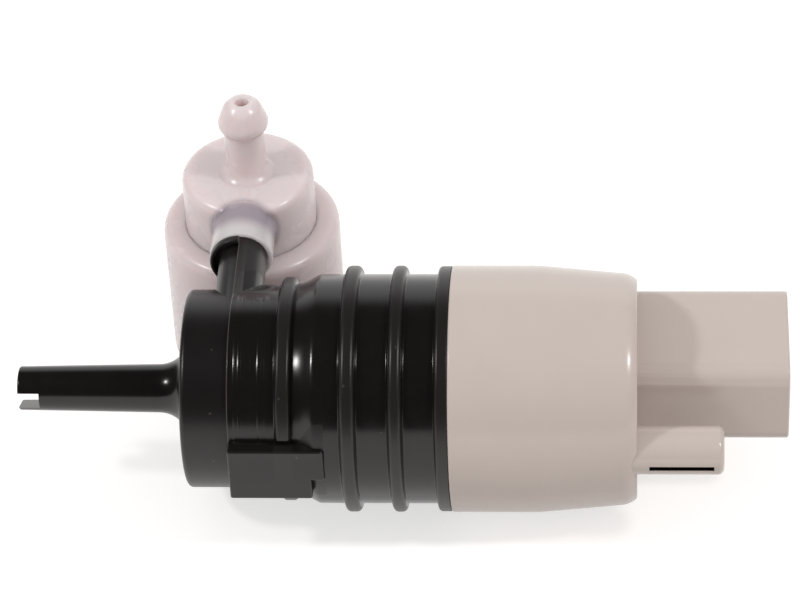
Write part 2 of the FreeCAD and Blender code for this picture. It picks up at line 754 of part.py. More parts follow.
coil_block = box("coil_block", ("coil_start", "coil_end"), ("coil_inner", "coil_outer"),
                 ("-coil_width / 2", "coil_width / 2"))
coil_round = rounded("coil_round", coil_block, "coil_round",
                     lambda edge: edge.BoundBox.YLength > edge.BoundBox.XLength + edge.BoundBox.ZLength)
coil_room = rod("coil_room", "shoe_bore", "coil_start - coil_overhang", "coil_end + coil_overhang")
coil_core = box("coil_core", ("core_start - coil_gap / 2", "core_end + coil_gap / 2"),
                ("0", "core_radius"), ("-pole_width / 2 - coil_gap / 2", "pole_width / 2 + coil_gap / 2"))
coil = cut("coil", common("coil_outside", coil_round, coil_room), coil_core)
winding = doc.addObject("Part::Compound", "winding")
winding.Links = around("coil", coil, SIZES["pole_count"])
node(winding, "armature_winding")

segment_ring = rod("segment_ring", "commutator_radius", "commutator_start", "commutator_end")
segment_slot = box("segment_slot", ("commutator_start", "commutator_end"),
                   ("commutator_radius - commutator_slot_depth", "commutator_radius * 2"),
                   ("-commutator_slot / 2", "commutator_slot / 2"))
segment_slots = around("segment_slot", segment_slot, SIZES["pole_count"])
segment_hole = rod("segment_hole", "shaft_radius", "commutator_start", "commutator_end")
node(cut("segments", segment_ring, segment_hole, *segment_slots), "commutator")

# End bell with brushes, terminals and the blades of the connector
bell_disc = turned("bell_disc", [
    ("bell_start", "bearing_radius"),
    ("bell_start", "can_bore"),
    ("can_rear", "can_bore"),
    ("can_rear", "boss_radius"),
    ("boss_end", "boss_radius"),
    ("boss_end", "bearing_radius"),
])
guides = []
terminal_rooms = []
brushes = []
for side, sign in (("front", -1), ("back", 1)):

    def across(low, high):
        """A pair of Y formulas, mirrored for the front side."""
        return (low, high) if sign > 0 else ("-(%s)" % high, "-(%s)" % low)

    for edge, flip in (("top", 1), ("bottom", -1)):
        low, high = "brush_width / 2 + guide_gap", "brush_width / 2 + guide_gap + guide_wall"
        span = (low, high) if flip > 0 else ("-(%s)" % high, "-(%s)" % low)
        guides.append(box("guide_%s_%s" % (side, edge), ("brush_start", "bell_start + leaf_thickness"),
                          across("brush_low + guide_wall / 2",
                                 "brush_low + guide_wall / 2 + guide_length"), span))
    terminal_rooms.append(box("terminal_room_" + side, ("bell_start", "can_rear"),
                              across("tab_radius", "tab_radius + blade_thickness"),
                              ("-blade_width / 2", "blade_width / 2")))
    brush = box("carbon_" + side, ("brush_start", "brush_start + brush_width"),
                across("brush_low", "brush_high"), ("-brush_width / 2", "brush_width / 2"))
    brushes.append(brush)
    leaf_x = ("brush_start + leaf_thickness", "brush_start + leaf_thickness + leaf_width")
    tab = box("tab_" + side, (leaf_x[0], "tab_end"), across("tab_radius", "tab_radius + blade_thickness"),
              ("-blade_width / 2", "blade_width / 2"))
    bridge = box("bridge_" + side, leaf_x, across("brush_high", "tab_radius + leaf_thickness"),
                 ("blade_width / 2 - leaf_thickness", "blade_width / 2"))
    leaf = box("leaf_" + side, leaf_x, across("brush_high", "brush_high + leaf_thickness"),
               ("-brush_width / 2", "blade_width / 2"))
    node(fuse("terminal_" + side, tab, bridge, leaf), "motor_terminal_" + side)
    node(brush, "brush_" + side)
node(cut("bell", fuse("bell_blank", bell_disc, *guides), *terminal_rooms), "end_bell")

blade_back = "shroud_offset + pin_spacing / 2"
back_pin = box("back_pin", ("pin_reach", "pin_tip"),
               (blade_back + " - blade_thickness / 2", blade_back + " + blade_thickness / 2"),
               ("-blade_width / 2", "blade_width / 2"))
node(back_pin, "connector_pin_back")
blade_front = "shroud_offset - pin_spacing / 2"
front_blade = box("front_blade", ("strip_start", "pin_tip"),
                  (blade_front + " - blade_thickness / 2", blade_front + " + blade_thickness / 2"),
                  ("-blade_width / 2", "blade_width / 2"))
cross_strip = box("cross_strip", ("strip_start", "strip_end"),
                  ("-tab_radius - blade_thickness * 2", blade_front), ("-blade_width / 2", "blade_width / 2"))
front_leg = box("front_leg", ("pin_reach", "strip_end"),
                ("-tab_radius - blade_thickness * 2", "-tab_radius - blade_thickness"),
                ("-blade_width / 2", "blade_width / 2"))
node(fuse("front_pin", front_blade, cross_strip, front_leg), "connector_pin_front")


# Valve capsule: its own axis is vertical, at the seam of the spigots
def nipple_outline(base):
    """The outside of a barbed hose nipple, as (along, radius) pairs from its base upwards."""
    stem_end = "%s + nipple_stem_length" % base
    barb = stem_end + " + barb_undercut"
    nose = barb + " + barb_land + barb_cone"
    return [
        (base, "nipple_base"),
        (base + " + nipple_cone", "nipple_stem"),
        (stem_end, "nipple_stem"),
        (barb, "barb_radius"),
        (barb + " + barb_land", "barb_radius"),
        (nose, "barb_nose"),
        (nose + " + nose_round", "barb_nose - nose_round"),
        (nose + " + nose_round", "nipple_bore"),
    ]


def at_capsule(item):
    """Place a piece on the capsule's axis."""
    return place(item, "-seam_back", "capsule_distance")


def moved(name, item):
    """A copy of a turned piece on the capsule's axis."""
    group = doc.addObject("Part::Compound", name)
    group.Links = [item]
    return at_capsule(group)


bonnet = turned("bonnet", [
    ("diaphragm_half", "bonnet_bore"),
    ("diaphragm_half", "bonnet_radius"),
    ("bonnet_top", "bonnet_radius"),
] + nipple_outline("bonnet_top") + [
    ("seat_face", "seat_bore"),
    ("seat_face", "seat_radius"),
    ("bonnet_top - bonnet_wall", "seat_radius"),
    ("bonnet_top - bonnet_wall", "bonnet_bore"),
], axis="Z", edges=[("bonnet_top", "bonnet_radius", "bonnet_edge")])
COLLAR = ("-seam_back", "spigot_height")
collar = rod("collar", "collar_radius", "collar_start", "collar_end", "Y", COLLAR)
collar_room = rod("collar_room", "collar_bore", "collar_start", "socket_end", "Y", COLLAR)
collar_way = rod("collar_way", "spigot_bore", "spigot_nose_start", "collar_end + collar_radius - spigot_bore",
                 "Y", COLLAR)
node(cut("upper_valve", fuse("bonnet_blank", moved("bonnet_placed", bonnet), collar), collar_room,
         collar_way), "valve_cap")

valve_cup = turned("valve_cup", [
    ("-valve_bottom", "0"),
    ("-valve_bottom", "cup_radius"),
    ("-skirt_ceiling", "cup_radius"),
    ("-skirt_ceiling", "valve_radius - skirt_wall"),
    ("-valve_bottom", "valve_radius - skirt_wall"),
    ("-valve_bottom", "valve_radius"),
    ("valve_shoulder", "valve_radius"),
    ("valve_shoulder", "well_radius"),
    ("-diaphragm_half", "well_radius"),
    ("-diaphragm_half", "cup_bore"),
    ("-valve_bottom + valve_base", "cup_bore"),
    ("-valve_bottom + valve_base", "0"),
], axis="Z", edges=[("valve_shoulder", "valve_radius", "shoulder_edge")])
LOWER = ("-seam_back", "-spigot_height")
ELBOW = ("-seam_back", "-lower_nipple_drop")
lower_collar = rod("lower_collar", "collar_radius", "collar_start", "collar_end", "Y", LOWER)
lower_room = rod("lower_room", "collar_bore", "collar_start", "socket_end", "Y", LOWER)
lower_way = rod("lower_way", "spigot_bore", "spigot_nose_start",
                "collar_end + collar_radius - spigot_bore", "Y", LOWER)
seat_tube = rod("seat_tube", "seat_radius", "-lower_nipple_drop", "-seat_face", "Z",
                ("-seam_back", "capsule_distance"))
seat_way = rod("seat_way", "seat_bore", "-lower_nipple_drop - seat_bore", "-seat_face", "Z",
               ("-seam_back", "capsule_distance"))
elbow = rod("elbow", "elbow_radius", "capsule_distance", "capsule_distance + valve_radius - skirt_wall / 2",
            "Y", ELBOW)
elbow_end = doc.addObject("Part::Sphere", "elbow_end")
place(bind(elbow_end, Radius="elbow_radius"), "-seam_back", "capsule_distance", "-lower_nipple_drop")
elbow_way = rod("elbow_way", "nipple_bore", "capsule_distance",
                "capsule_distance + valve_radius + nipple_stem_length", "Y", ELBOW)
rear_nipple = turned("rear_nipple", [("0 - skirt_wall", "nipple_bore"), ("0 - skirt_wall", "nipple_base")]
                     + nipple_outline("0"), axis="Z")
rear_nipple_out = doc.addObject("Part::Compound", "rear_nipple_out")
rear_nipple_out.Links = [rear_nipple]
rear_nipple_out.Placement = FreeCAD.Placement(V(), FreeCAD.Rotation(V(1, 0, 0), -90))
place(rear_nipple_out, "-seam_back", "capsule_distance + valve_radius", "-lower_nipple_drop")
node(cut("lower_valve", fuse("valve_blank", moved("valve_placed", valve_cup), lower_collar, seat_tube,
                             elbow, elbow_end, rear_nipple_out), lower_room, lower_way, seat_way,
         elbow_way), "valve_body")

diaphragm = turned("diaphragm", [
    ("-diaphragm_half", "bonnet_radius"),
    ("diaphragm_half", "bonnet_radius"),
    ("diaphragm_half", "poppet_waist + poppet_play"),
    ("-diaphragm_half", "poppet_waist + poppet_play"),
], axis="Z")
node(at_capsule(diaphragm), "valve_diaphragm")
SPOOL_INNER = "diaphragm_half + poppet_play"
poppet = turned("poppet", [
    ("-poppet_half", "0"),
    ("-poppet_half", "poppet_radius"),
    ("-(%s)" % SPOOL_INNER, "poppet_radius"),
    ("-(%s)" % SPOOL_INNER, "poppet_waist"),
    (SPOOL_INNER, "poppet_waist"),
    (SPOOL_INNER, "poppet_radius"),
    ("poppet_half", "poppet_radius"),
    ("poppet_half", "0"),
], axis="Z")
node(at_capsule(poppet), "valve_poppet")

doc.recompute()
for item in doc.Objects:
    if "Invalid" in item.State or "Error" in item.State:
        raise RuntimeError("failed: %s %s" % (item.Label, item.State))
for item in nodes:
    if item.Shape.isNull() or not item.Shape.isValid() or not item.Shape.Solids:
        raise RuntimeError("bad shape: " + item.Label)
os.makedirs("parts", exist_ok=True)
for item in nodes:
    item.Shape.exportStep("parts/%s.step" % item.Label)
    print(item.Label, len(item.Shape.Solids), round(item.Shape.Volume, 1))
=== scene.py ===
import json
import logging
import math
from dataclasses import dataclass, field
from enum import Enum

import bmesh
import bpy
from mathutils import Matrix, Vector


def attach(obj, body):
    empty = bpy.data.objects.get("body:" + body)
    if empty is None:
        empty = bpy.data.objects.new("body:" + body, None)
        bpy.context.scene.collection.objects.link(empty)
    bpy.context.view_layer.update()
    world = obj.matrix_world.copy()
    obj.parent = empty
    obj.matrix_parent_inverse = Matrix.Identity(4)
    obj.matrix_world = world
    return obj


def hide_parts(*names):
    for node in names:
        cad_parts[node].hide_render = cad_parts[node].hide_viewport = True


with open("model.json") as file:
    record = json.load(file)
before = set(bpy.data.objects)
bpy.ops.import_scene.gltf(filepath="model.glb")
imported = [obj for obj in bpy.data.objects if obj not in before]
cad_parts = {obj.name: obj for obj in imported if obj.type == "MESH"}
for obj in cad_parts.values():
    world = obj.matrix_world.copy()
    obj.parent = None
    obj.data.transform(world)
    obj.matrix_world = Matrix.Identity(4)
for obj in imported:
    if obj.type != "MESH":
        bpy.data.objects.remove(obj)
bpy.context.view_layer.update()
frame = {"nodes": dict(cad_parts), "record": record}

LOG = logging.getLogger("washer_pump")
MM = 0.001
MERGE = 1e-6  # metres: points nearer than this are one
FAR = 1000.0  # millimetres: past everything, for a mask that is open on one side
SHARP = 0.02  # millimetres: the rounding of an edge that is left sharp
Point = tuple[float, float]
Corner = tuple[float, float, float]
Colour = tuple[float, float, float]
Thing = bpy.types.Object
Material = bpy.types.Material
Tree = bpy.types.NodeTree
Socket = bpy.types.NodeSocket


class Axis(Enum):
    """Which way a turned piece's axis runs, as the matrix that turns +Z to it."""

    ALONG_X = Matrix(((0, 0, 1), (1, 0, 0), (0, 1, 0))).to_4x4()
    ALONG_Y = Matrix(((0, 1, 0), (0, 0, 1), (1, 0, 0))).to_4x4()
    ALONG_Z = Matrix.Identity(4)


class Operation(Enum):
    """How one solid is worked into another."""

    JOIN = "UNION"
    CUT = "DIFFERENCE"
    KEEP_SHARED = "INTERSECT"


def rounded_outline(corners: list[Corner], step: float = 11.0, closed: bool = True) -> list[Point]:
    """Replace each corner by an arc of its own radius.

    Args:
        corners: Points as (along, radius, rounding) in millimetres.
        step: Largest turn between two points of an arc, in degrees.
        closed: Whether the last corner joins the first.

    Returns:
        The points of the outline, in order.
    """
    points: list[Point] = []
    count = len(corners)
    for i, (x, y, rounding) in enumerate(corners):
        here = Vector((x, y))
        if rounding <= 0 or (not closed and i in (0, count - 1)):
            points.append((x, y))
            continue
        before = Vector(corners[i - 1][:2]) - here
        after = Vector(corners[(i + 1) % count][:2]) - here
        opening = before.angle(after)
        turn = math.pi - opening
        if turn < math.radians(1.5):
            points.append((x, y))
            continue
        reach = min(rounding / math.tan(opening / 2), 0.49 * before.length, 0.49 * after.length)
        radius = reach * math.tan(opening / 2)
        first = before.normalized()
        last = after.normalized()
        middle = (first + last).normalized()
        centre = here + middle * (radius / math.sin(opening / 2))
        start = here + first * reach - centre
        end = here + last * reach - centre
        parts = max(2, math.ceil(math.degrees(turn) / step))
        sense = 1 if start.x * end.y - start.y * end.x > 0 else -1
        for k in range(parts + 1):
            spot = start.copy()
            spot.rotate(Matrix.Rotation(sense * turn * k / parts, 2))
            points.append(tuple(centre + spot))
    return points


def arc(start: Point, radius: float, angles: tuple[float, float], sense: int, parts: int = 6) -> list[Corner]:
    """An arc of an outline whose slope runs from one angle to another.

    Args:
        start: First point as (along, radius) in millimetres.
        radius: Radius of the arc.
        angles: Slope at its two ends, in degrees, both of one sign.
        sense: 1 where the outline turns away from the axis, -1 where it turns towards it.
        parts: Pieces of the arc.

    Returns:
        The points, which need no further rounding.
    """
    low, high = (math.radians(angle) for angle in angles)
    points: list[Corner] = []
    for k in range(parts + 1):
        angle = low + (high - low) * k / parts
        points.append((start[0] + radius * (math.sin(angle) - math.sin(low)),
                       start[1] + sense * radius * (math.cos(low) - math.cos(angle)), 0))
    return points


def linked(name: str, data: bpy.types.ID) -> Thing:
    """Put a mesh, a lamp or a camera into the scene as an object of that name."""
    thing = bpy.data.objects.new(name, data)
    bpy.context.scene.collection.objects.link(thing)
    return thing


def settled(thing: Thing) -> Thing:
    """Turn the modifiers of an object into its plain mesh.

    Args:
        thing: The object, whose modifiers are removed.

    Returns:
        The same object with the resulting mesh.
    """
    bpy.context.view_layer.update()
    graph = bpy.context.evaluated_depsgraph_get()
    mesh = bpy.data.meshes.new_from_object(thing.evaluated_get(graph))
    thing.modifiers.clear()
    old = thing.data
    thing.data = mesh
    mesh.name = thing.name
    bpy.data.meshes.remove(old)
    return thing


def tidied(thing: Thing) -> Thing:
    """Merge doubled points and turn all faces of a closed solid outwards."""
    work = bmesh.new()
    work.from_mesh(thing.data)
    bmesh.ops.remove_doubles(work, verts=work.verts, dist=MERGE)
    bmesh.ops.recalc_face_normals(work, faces=work.faces)
    work.to_mesh(thing.data)
    work.free()
    return thing


def worked(base: Thing, operation: Operation, *tools: Thing) -> Thing:
    """Join, cut or keep shared one solid with others, which are used up.

    Args:
        base: The solid that is changed.
        operation: What is done with each tool.
        tools: Solids that are removed afterwards.

    Returns:
        The base object with its new mesh.
    """
    for tool in tools:
        modifier = base.modifiers.new("work", "BOOLEAN")
        modifier.operation = operation.value
        modifier.solver = "EXACT"
        modifier.object = tool
        settled(base)
        tidied(base)
        mesh = tool.data
        bpy.data.objects.remove(tool)
        bpy.data.meshes.remove(mesh)
    return base


def smoothed(thing: Thing, angle: float = 28.0) -> Thing:
    """Shade smooth but for edges sharper than the angle, with normals led by the large faces."""
    thing.data.shade_smooth()
    thing.data.set_sharp_from_angle(angle=math.radians(angle))
    modifier = thing.modifiers.new("normals", "WEIGHTED_NORMAL")
    modifier.keep_sharp = True
    modifier.weight = 60
    return settled(thing)


def remeshed(thing: Thing, voxel: float, rounds: int) -> Thing:
    """Flow a joined solid into one skin whose inner corners are soft, as on a moulding.

    Args:
        thing: The closed solid.
        voxel: Edge length of the new faces, in millimetres.
        rounds: How many times the skin is relaxed.

    Returns:
        The same object with its new skin.
    """
    flow = thing.modifiers.new("flow", "REMESH")
    flow.mode = "VOXEL"
    flow.voxel_size = voxel * MM
    flow.use_smooth_shade = True
    relax = thing.modifiers.new("relax", "SMOOTH")
    relax.factor = 0.5
    relax.iterations = rounds
    return settled(thing)


def bar(name: str, across: tuple[float, float, float, float], along: tuple[float, float],
        corner: float, lip: float, parts: int = 7) -> Thing:
    """A straight bar along X of rounded rectangular section, with rounded rims at both ends.

    Args:
        name: Name of the object.
        across: Lowest and highest Y, then lowest and highest Z, in millimetres.
        along: First and last X, in millimetres.
        corner: Rounding of the four long edges.
        lip: Rounding of the rims.
        parts: Faces in each rounding.

    Returns:
        The closed solid.
    """
    y0, y1, z0, z1 = across
    first = [(along[0] + lip * (1 - math.cos(math.pi / 2 * k / parts)),
              lip * (1 - math.sin(math.pi / 2 * k / parts))) for k in range(parts + 1)]
    last = [(along[1] - (x - along[0]), inset) for x, inset in reversed(first)]
    work = bmesh.new()
    rings = []
    for x, inset in first + last:
        ring = []
        radius = max(corner - inset, 0.02)
        for cy, cz, turn in ((y1 - inset - radius, z1 - inset - radius, 0.0),
                             (y0 + inset + radius, z1 - inset - radius, 90.0),
                             (y0 + inset + radius, z0 + inset + radius, 180.0),
                             (y1 - inset - radius, z0 + inset + radius, 270.0)):
            for k in range(parts + 1):
                t = math.radians(turn + 90.0 * k / parts)
                ring.append(work.verts.new((x * MM, (cy + radius * math.cos(t)) * MM,
                                            (cz + radius * math.sin(t)) * MM)))
        rings.append(ring)
    for here, there in zip(rings, rings[1:]):
        for k in range(len(here)):
            nxt = (k + 1) % len(here)
            work.faces.new((here[k], here[nxt], there[nxt], there[k]))
    work.faces.new(list(reversed(rings[0])))
    work.faces.new(rings[-1])
    mesh = bpy.data.meshes.new(name)
    work.to_mesh(mesh)
    work.free()
    return tidied(linked(name, mesh))


def added(tree: Tree, kind: str, feeds: dict | None = None, **settings: object) -> bpy.types.Node:
    """Add a node to a tree.

    Args:
        tree: The tree.
        kind: Type of the node.
        feeds: For each input, by name or number, its value or the socket that feeds it.
        settings: The node's own settings.

    Returns:
        The node.
    """
    node = tree.nodes.new(kind)
    for name, value in settings.items():
        setattr(node, name, value)
    for target, value in (feeds or {}).items():
        if isinstance(value, Socket):
            tree.links.new(value, node.inputs[target])
        else:
            node.inputs[target].default_value = value
    return node


def calculated(tree: Tree, operation: str, *values: Socket | float) -> Socket:
    """Sockets and numbers put together by a Math node."""
    return added(tree, "ShaderNodeMath", dict(enumerate(values)), operation=operation).outputs["Value"]


def started(name: str, kind: str, inputs: dict[str, str], outputs: dict[str, str]) -> tuple[Tree, dict]:
    """Start a node tree with named inputs and outputs.

    Args:
        name: Name of the tree.
        kind: Type of the tree.
        inputs: Sort of each input, by its name.
        outputs: Sort of each output, by its name.

    Returns:
        The tree, and its inputs by name.
    """
    tree = bpy.data.node_groups.new(name, kind)
    for way, wanted in (("INPUT", inputs), ("OUTPUT", outputs)):
        for label, sort in wanted.items():
            tree.interface.new_socket(label, in_out=way, socket_type="NodeSocket" + sort)
    return tree, {item.name: item for item in tree.interface.items_tree if item.in_out == "INPUT"}


def ended(tree: Tree, geometry: Socket, finish: Socket, output: str) -> None:
    """End a tree of geometry with real faces in their material."""
    real = added(tree, "GeometryNodeRealizeInstances", {"Geometry": geometry})
    dress = added(tree, "GeometryNodeSetMaterial", {"Geometry": real.outputs["Geometry"], "Material": finish})
    added(tree, "NodeGroupOutput", {output: dress.outputs["Geometry"]})


class LatheTree:
    """Geometry Nodes that turn an outline round the Z axis into a closed solid."""

    CARRIER = 10.0

    def __init__(self) -> None:
        """Build the tree with its named inputs."""
        tree, self.sockets = started("Turned piece", "GeometryNodeTree", {
            "Outline": "Geometry", "Segments": "Int", "Finish": "Material"}, {"Solid": "Geometry"})
        given = added(tree, "NodeGroupInput").outputs
        shift = added(tree, "GeometryNodeTransform", {
            "Geometry": given["Outline"], "Translation": (-self.CARRIER * MM, 0, 0)})
        outline = added(tree, "GeometryNodeMeshToCurve", {"Mesh": shift.outputs["Geometry"]})
        carrier = added(tree, "GeometryNodeCurvePrimitiveCircle", {
            "Resolution": given["Segments"], "Radius": self.CARRIER * MM})
        sweep = added(tree, "GeometryNodeCurveToMesh", {
            "Curve": carrier.outputs["Curve"], "Profile Curve": outline.outputs["Curve"]})
        weld = added(tree, "GeometryNodeMergeByDistance", {
            "Geometry": sweep.outputs["Mesh"], "Distance": MERGE})
        ended(tree, weld.outputs["Geometry"], given["Finish"], "Solid")
        self.tree = tree

    def turn(self, name: str, outline: list[Point], axis: Axis = Axis.ALONG_X, centre: Corner = (0, 0, 0),
             segments: int = 96, closed: bool = True) -> Thing:
        """Turn an outline round an axis.

        Args:
            name: Name of the object.
            outline: Points as (along, radius) in millimetres.
            axis: The way the axis runs.
            centre: Where the outline's zero lies, in millimetres.
            segments: Faces round the axis.
            closed: Whether the outline is a loop, and not a line between two points of the axis.

        Returns:
            The solid, with its place in its mesh.
        """
        count = len(outline)
        mesh = bpy.data.meshes.new(name)
        edges = [(i, (i + 1) % count) for i in range(count if closed else count - 1)]
        mesh.from_pydata([(radius * MM, -along * MM, 0) for along, radius in outline], edges, [])
        thing = linked(name, mesh)
        modifier = thing.modifiers.new("turned", "NODES")
        modifier.node_group = self.tree
        modifier[self.sockets["Segments"].identifier] = segments
        settled(thing)
        thing.data.transform(Matrix.Translation(Vector(centre) * MM) @ axis.value)
        return tidied(thing)

    def core(self, name: str, corners: list[Corner], axis: Axis = Axis.ALONG_X, centre: Corner = (0, 0, 0),
             segments: int = 96) -> Thing:
        """Turn a rounded line between two points of the axis into a solid."""
        return self.turn(name, rounded_outline(corners, closed=False), axis, centre, segments, False)

    def rod(self, name: str, ends: Point, radius: float, axis: Axis = Axis.ALONG_X,
            centre: Corner = (0, 0, 0), segments: int = 96) -> Thing:
        """Turn a plain cylinder between two places of the axis."""
        outline = [(ends[0], 0), (ends[0], radius), (ends[1], radius), (ends[1], 0)]
        return self.turn(name, outline, axis, centre, segments, False)


class RepeatTree:
    """Geometry Nodes that set copies of a piece evenly round the motor axis."""

    def __init__(self) -> None:
        """Build the tree with its named inputs."""
        tree, self.sockets = started("Copies round the axis", "GeometryNodeTree", {
            "Piece": "Geometry", "Count": "Int", "Finish": "Material"}, {"Copies": "Geometry"})
        given = added(tree, "NodeGroupInput").outputs
        line = added(tree, "GeometryNodeMeshLine", {"Count": given["Count"], "Offset": (0, 0, 0)})
        index = added(tree, "GeometryNodeInputIndex").outputs["Index"]
        share = calculated(tree, "DIVIDE", index, given["Count"])
        spin = added(tree, "ShaderNodeCombineXYZ", {"X": calculated(tree, "MULTIPLY", share, math.tau)})
        place = added(tree, "GeometryNodeInstanceOnPoints", {
            "Points": line.outputs["Mesh"], "Instance": given["Piece"], "Rotation": spin.outputs["Vector"]})
        ended(tree, place.outputs["Instances"], given["Finish"], "Copies")
        self.tree = tree

    def spread(self, thing: Thing, count: int) -> Thing:
        """Make a piece into that many copies of itself about the X axis."""
        modifier = thing.modifiers.new("copies", "NODES")
        modifier.node_group = self.tree
        modifier[self.sockets["Count"].identifier] = count
        return tidied(settled(thing))


class ShaderKit:
    """Node groups that the finishes share."""

    def __init__(self) -> None:
        """Build each group once."""
        self.grain = self._grain()
        self.dust = self._dust()
        self.tooling = self._tooling()

    @staticmethod
    def _group(name: str, numbers: dict[str, float], outputs: tuple[str, ...]) -> tuple:
        """Start a group with a Position input, number inputs and number outputs."""
        inputs = {"Position": "Vector", **dict.fromkeys(numbers, "Float")}
        tree, sockets = started(name, "ShaderNodeTree", inputs, dict.fromkeys(outputs, "Float"))
        for label, value in numbers.items():
            sockets[label].default_value = value
        return tree, added(tree, "NodeGroupInput").outputs

    @classmethod
    def _grain(cls) -> Tree:
        """Fine mould grain and slow waviness, as a height and a mottling value."""
        tree, given = cls._group("Mould grain", {
            "Grain scale": 4000.0, "Wave scale": 260.0, "Wave share": 0.4}, ("Height", "Mottle"))
        fine, slow = (added(tree, "ShaderNodeTexNoise", {
            "Vector": given["Position"], "Scale": given[scale], "Detail": detail}).outputs["Fac"]
            for scale, detail in (("Grain scale", 3), ("Wave scale", 2)))
        mix = added(tree, "ShaderNodeMix", {"Factor": given["Wave share"], "A": fine, "B": slow})
        added(tree, "NodeGroupOutput", {"Height": mix.outputs["Result"], "Mottle": slow})
        return tree

    @classmethod
    def _dust(cls) -> Tree:
        """Sparse specks of dust, as a mask."""
        tree, given = cls._group("Dust specks", {"Scale": 420.0, "Size": 0.1, "Share": 0.2}, ("Mask",))
        cells = added(tree, "ShaderNodeTexVoronoi", {
            "Vector": given["Position"], "Scale": given["Scale"]}).outputs
        pick = added(tree, "ShaderNodeSeparateColor", {"Color": cells["Color"]}).outputs["Red"]
        near = calculated(tree, "LESS_THAN", cells["Distance"], given["Size"])
        some = calculated(tree, "LESS_THAN", pick, given["Share"])
        added(tree, "NodeGroupOutput", {"Mask": calculated(tree, "MULTIPLY", near, some)})
        return tree

    @classmethod
    def _tooling(cls) -> Tree:
        """Fine turning marks that run round the motor axis, as a height."""
        tree, given = cls._group("Turning marks", {"Scale": 1700.0}, ("Height",))
        split = added(tree, "ShaderNodeSeparateXYZ", {"Vector": given["Position"]})
        waves = added(tree, "ShaderNodeTexNoise", noise_dimensions="1D")
        waves.inputs["Detail"].default_value = 2
        tree.links.new(split.outputs["X"], waves.inputs["W"])
        tree.links.new(given["Scale"], waves.inputs["Scale"])
        added(tree, "NodeGroupOutput", {"Height": waves.outputs["Fac"]})
        return tree


@dataclass(frozen=True)
class Finish:
    """What every finish has: a colour, how it varies, its gloss and its grain."""

    name: str
    colour: Colour
    other: Colour
    roughness: tuple[float, float]
    metallic: float = 0.0
    grain: float = 4000.0
    waves: float = 260.0
    relief: float = 0.02
    subsurface: float = 0.0
    depth: Colour = (2.0, 1.4, 1.3)

    def material(self, kit: ShaderKit) -> Material:
        """Build the material of this finish.

        Args:
            kit: The shared node groups.

        Returns:
            The material.
        """
        made = bpy.data.materials.new(self.name)
        made.use_nodes = True
        tree = made.node_tree
        shader = tree.nodes["Principled BSDF"]
        shader.inputs["Metallic"].default_value = self.metallic
        if self.subsurface:
            shader.inputs["Subsurface Weight"].default_value = self.subsurface
            shader.inputs["Subsurface Radius"].default_value = self.depth
            shader.inputs["Subsurface Scale"].default_value = MM
        place = added(tree, "ShaderNodeTexCoord", name="Place")
        grain = added(tree, "ShaderNodeGroup", {
            "Position": place.outputs["Object"], "Grain scale": self.grain, "Wave scale": self.waves},
            node_tree=kit.grain).outputs
        tint = added(tree, "ShaderNodeMix", {
            "Factor": grain["Mottle"], "A": (*self.colour, 1), "B": (*self.other, 1)}, data_type="RGBA")
        gloss = added(tree, "ShaderNodeMapRange", {
            "Value": grain["Mottle"], "From Min": 0.15, "From Max": 0.85, "To Min": self.roughness[0],
            "To Max": self.roughness[1]}, interpolation_type="SMOOTHSTEP")
        bump = added(tree, "ShaderNodeBump", {
            "Height": grain["Height"], "Strength": 1.0, "Distance": self.relief * MM}, name="Relief")
        tree.links.new(tint.outputs["Result"], shader.inputs["Base Color"])
        tree.links.new(gloss.outputs["Result"], shader.inputs["Roughness"])
        tree.links.new(bump.outputs["Normal"], shader.inputs["Normal"])
        self.extras(kit, tree)
        return made

    def extras(self, kit: ShaderKit, tree: Tree) -> None:
        """Add what only this finish has, which is nothing for the plain ones."""


def place_of(tree: Tree) -> Socket:
    """The place on the object, as a socket of a material's tree."""
    return tree.nodes["Place"].outputs["Object"]


def spliced(tree: Tree, target: str, mask: Socket, value: float | Colour) -> None:
    """Mix a value into what reaches a socket of the shader, by a mask.

    Args:
        tree: The material's tree.
        target: Name of the shader's socket.
        mask: Where the new value shows.
        value: A number or a colour.
    """
    entry = tree.nodes["Principled BSDF"].inputs[target]
    colour = isinstance(value, tuple)
    mix = added(tree, "ShaderNodeMix", {
        "Factor": mask, "A": entry.links[0].from_socket, "B": (*value, 1) if colour else value},
        data_type="RGBA" if colour else "FLOAT")
    tree.links.new(mix.outputs["Result"], entry)


def between(tree: Tree, value: Socket, low: float, high: float, soft: float) -> Socket:
    """A soft mask that is 1 where a length lies between two limits.

    Args:
        tree: The material's tree.
        value: The length that is tested.
        low: Lower limit, in millimetres.
        high: Upper limit.
        soft: Width of each fade.

    Returns:
        The socket of the mask.
    """
    edges = [added(tree, "ShaderNodeMapRange", {"Value": value, "From Min": start * MM, "From Max": end * MM},
                   interpolation_type="SMOOTHSTEP").outputs["Result"]
             for start, end in ((low - soft, low + soft), (high + soft, high - soft))]
    return calculated(tree, "MULTIPLY", *edges)


def length_of(tree: Tree, **sides: Socket) -> Socket:
    """The length of a vector of which only the named sides are given."""
    vector = added(tree, "ShaderNodeCombineXYZ", sides).outputs["Vector"]
    return added(tree, "ShaderNodeVectorMath", {0: vector}, operation="LENGTH").outputs["Value"]


def cylinder_place(tree: Tree, centre: float = 0.0) -> tuple[Socket, Socket, Socket]:
    """The distance from an axis along X, the place along it and the place across it, as sockets."""
    split = added(tree, "ShaderNodeSeparateXYZ", {"Vector": place_of(tree)}).outputs
    drop = calculated(tree, "SUBTRACT", split["Y"], centre * MM)
    return length_of(tree, Y=drop, Z=split["Z"]), split["X"], split["Y"]


def dusted(tree: Tree, kit: ShaderKit, colour: Colour, **values: float) -> None:
    """Scatter specks of dust over a finish."""
    specks = added(tree, "ShaderNodeGroup", {"Position": place_of(tree), **values}, node_tree=kit.dust)
    spliced(tree, "Base Color", specks.outputs["Mask"], colour)


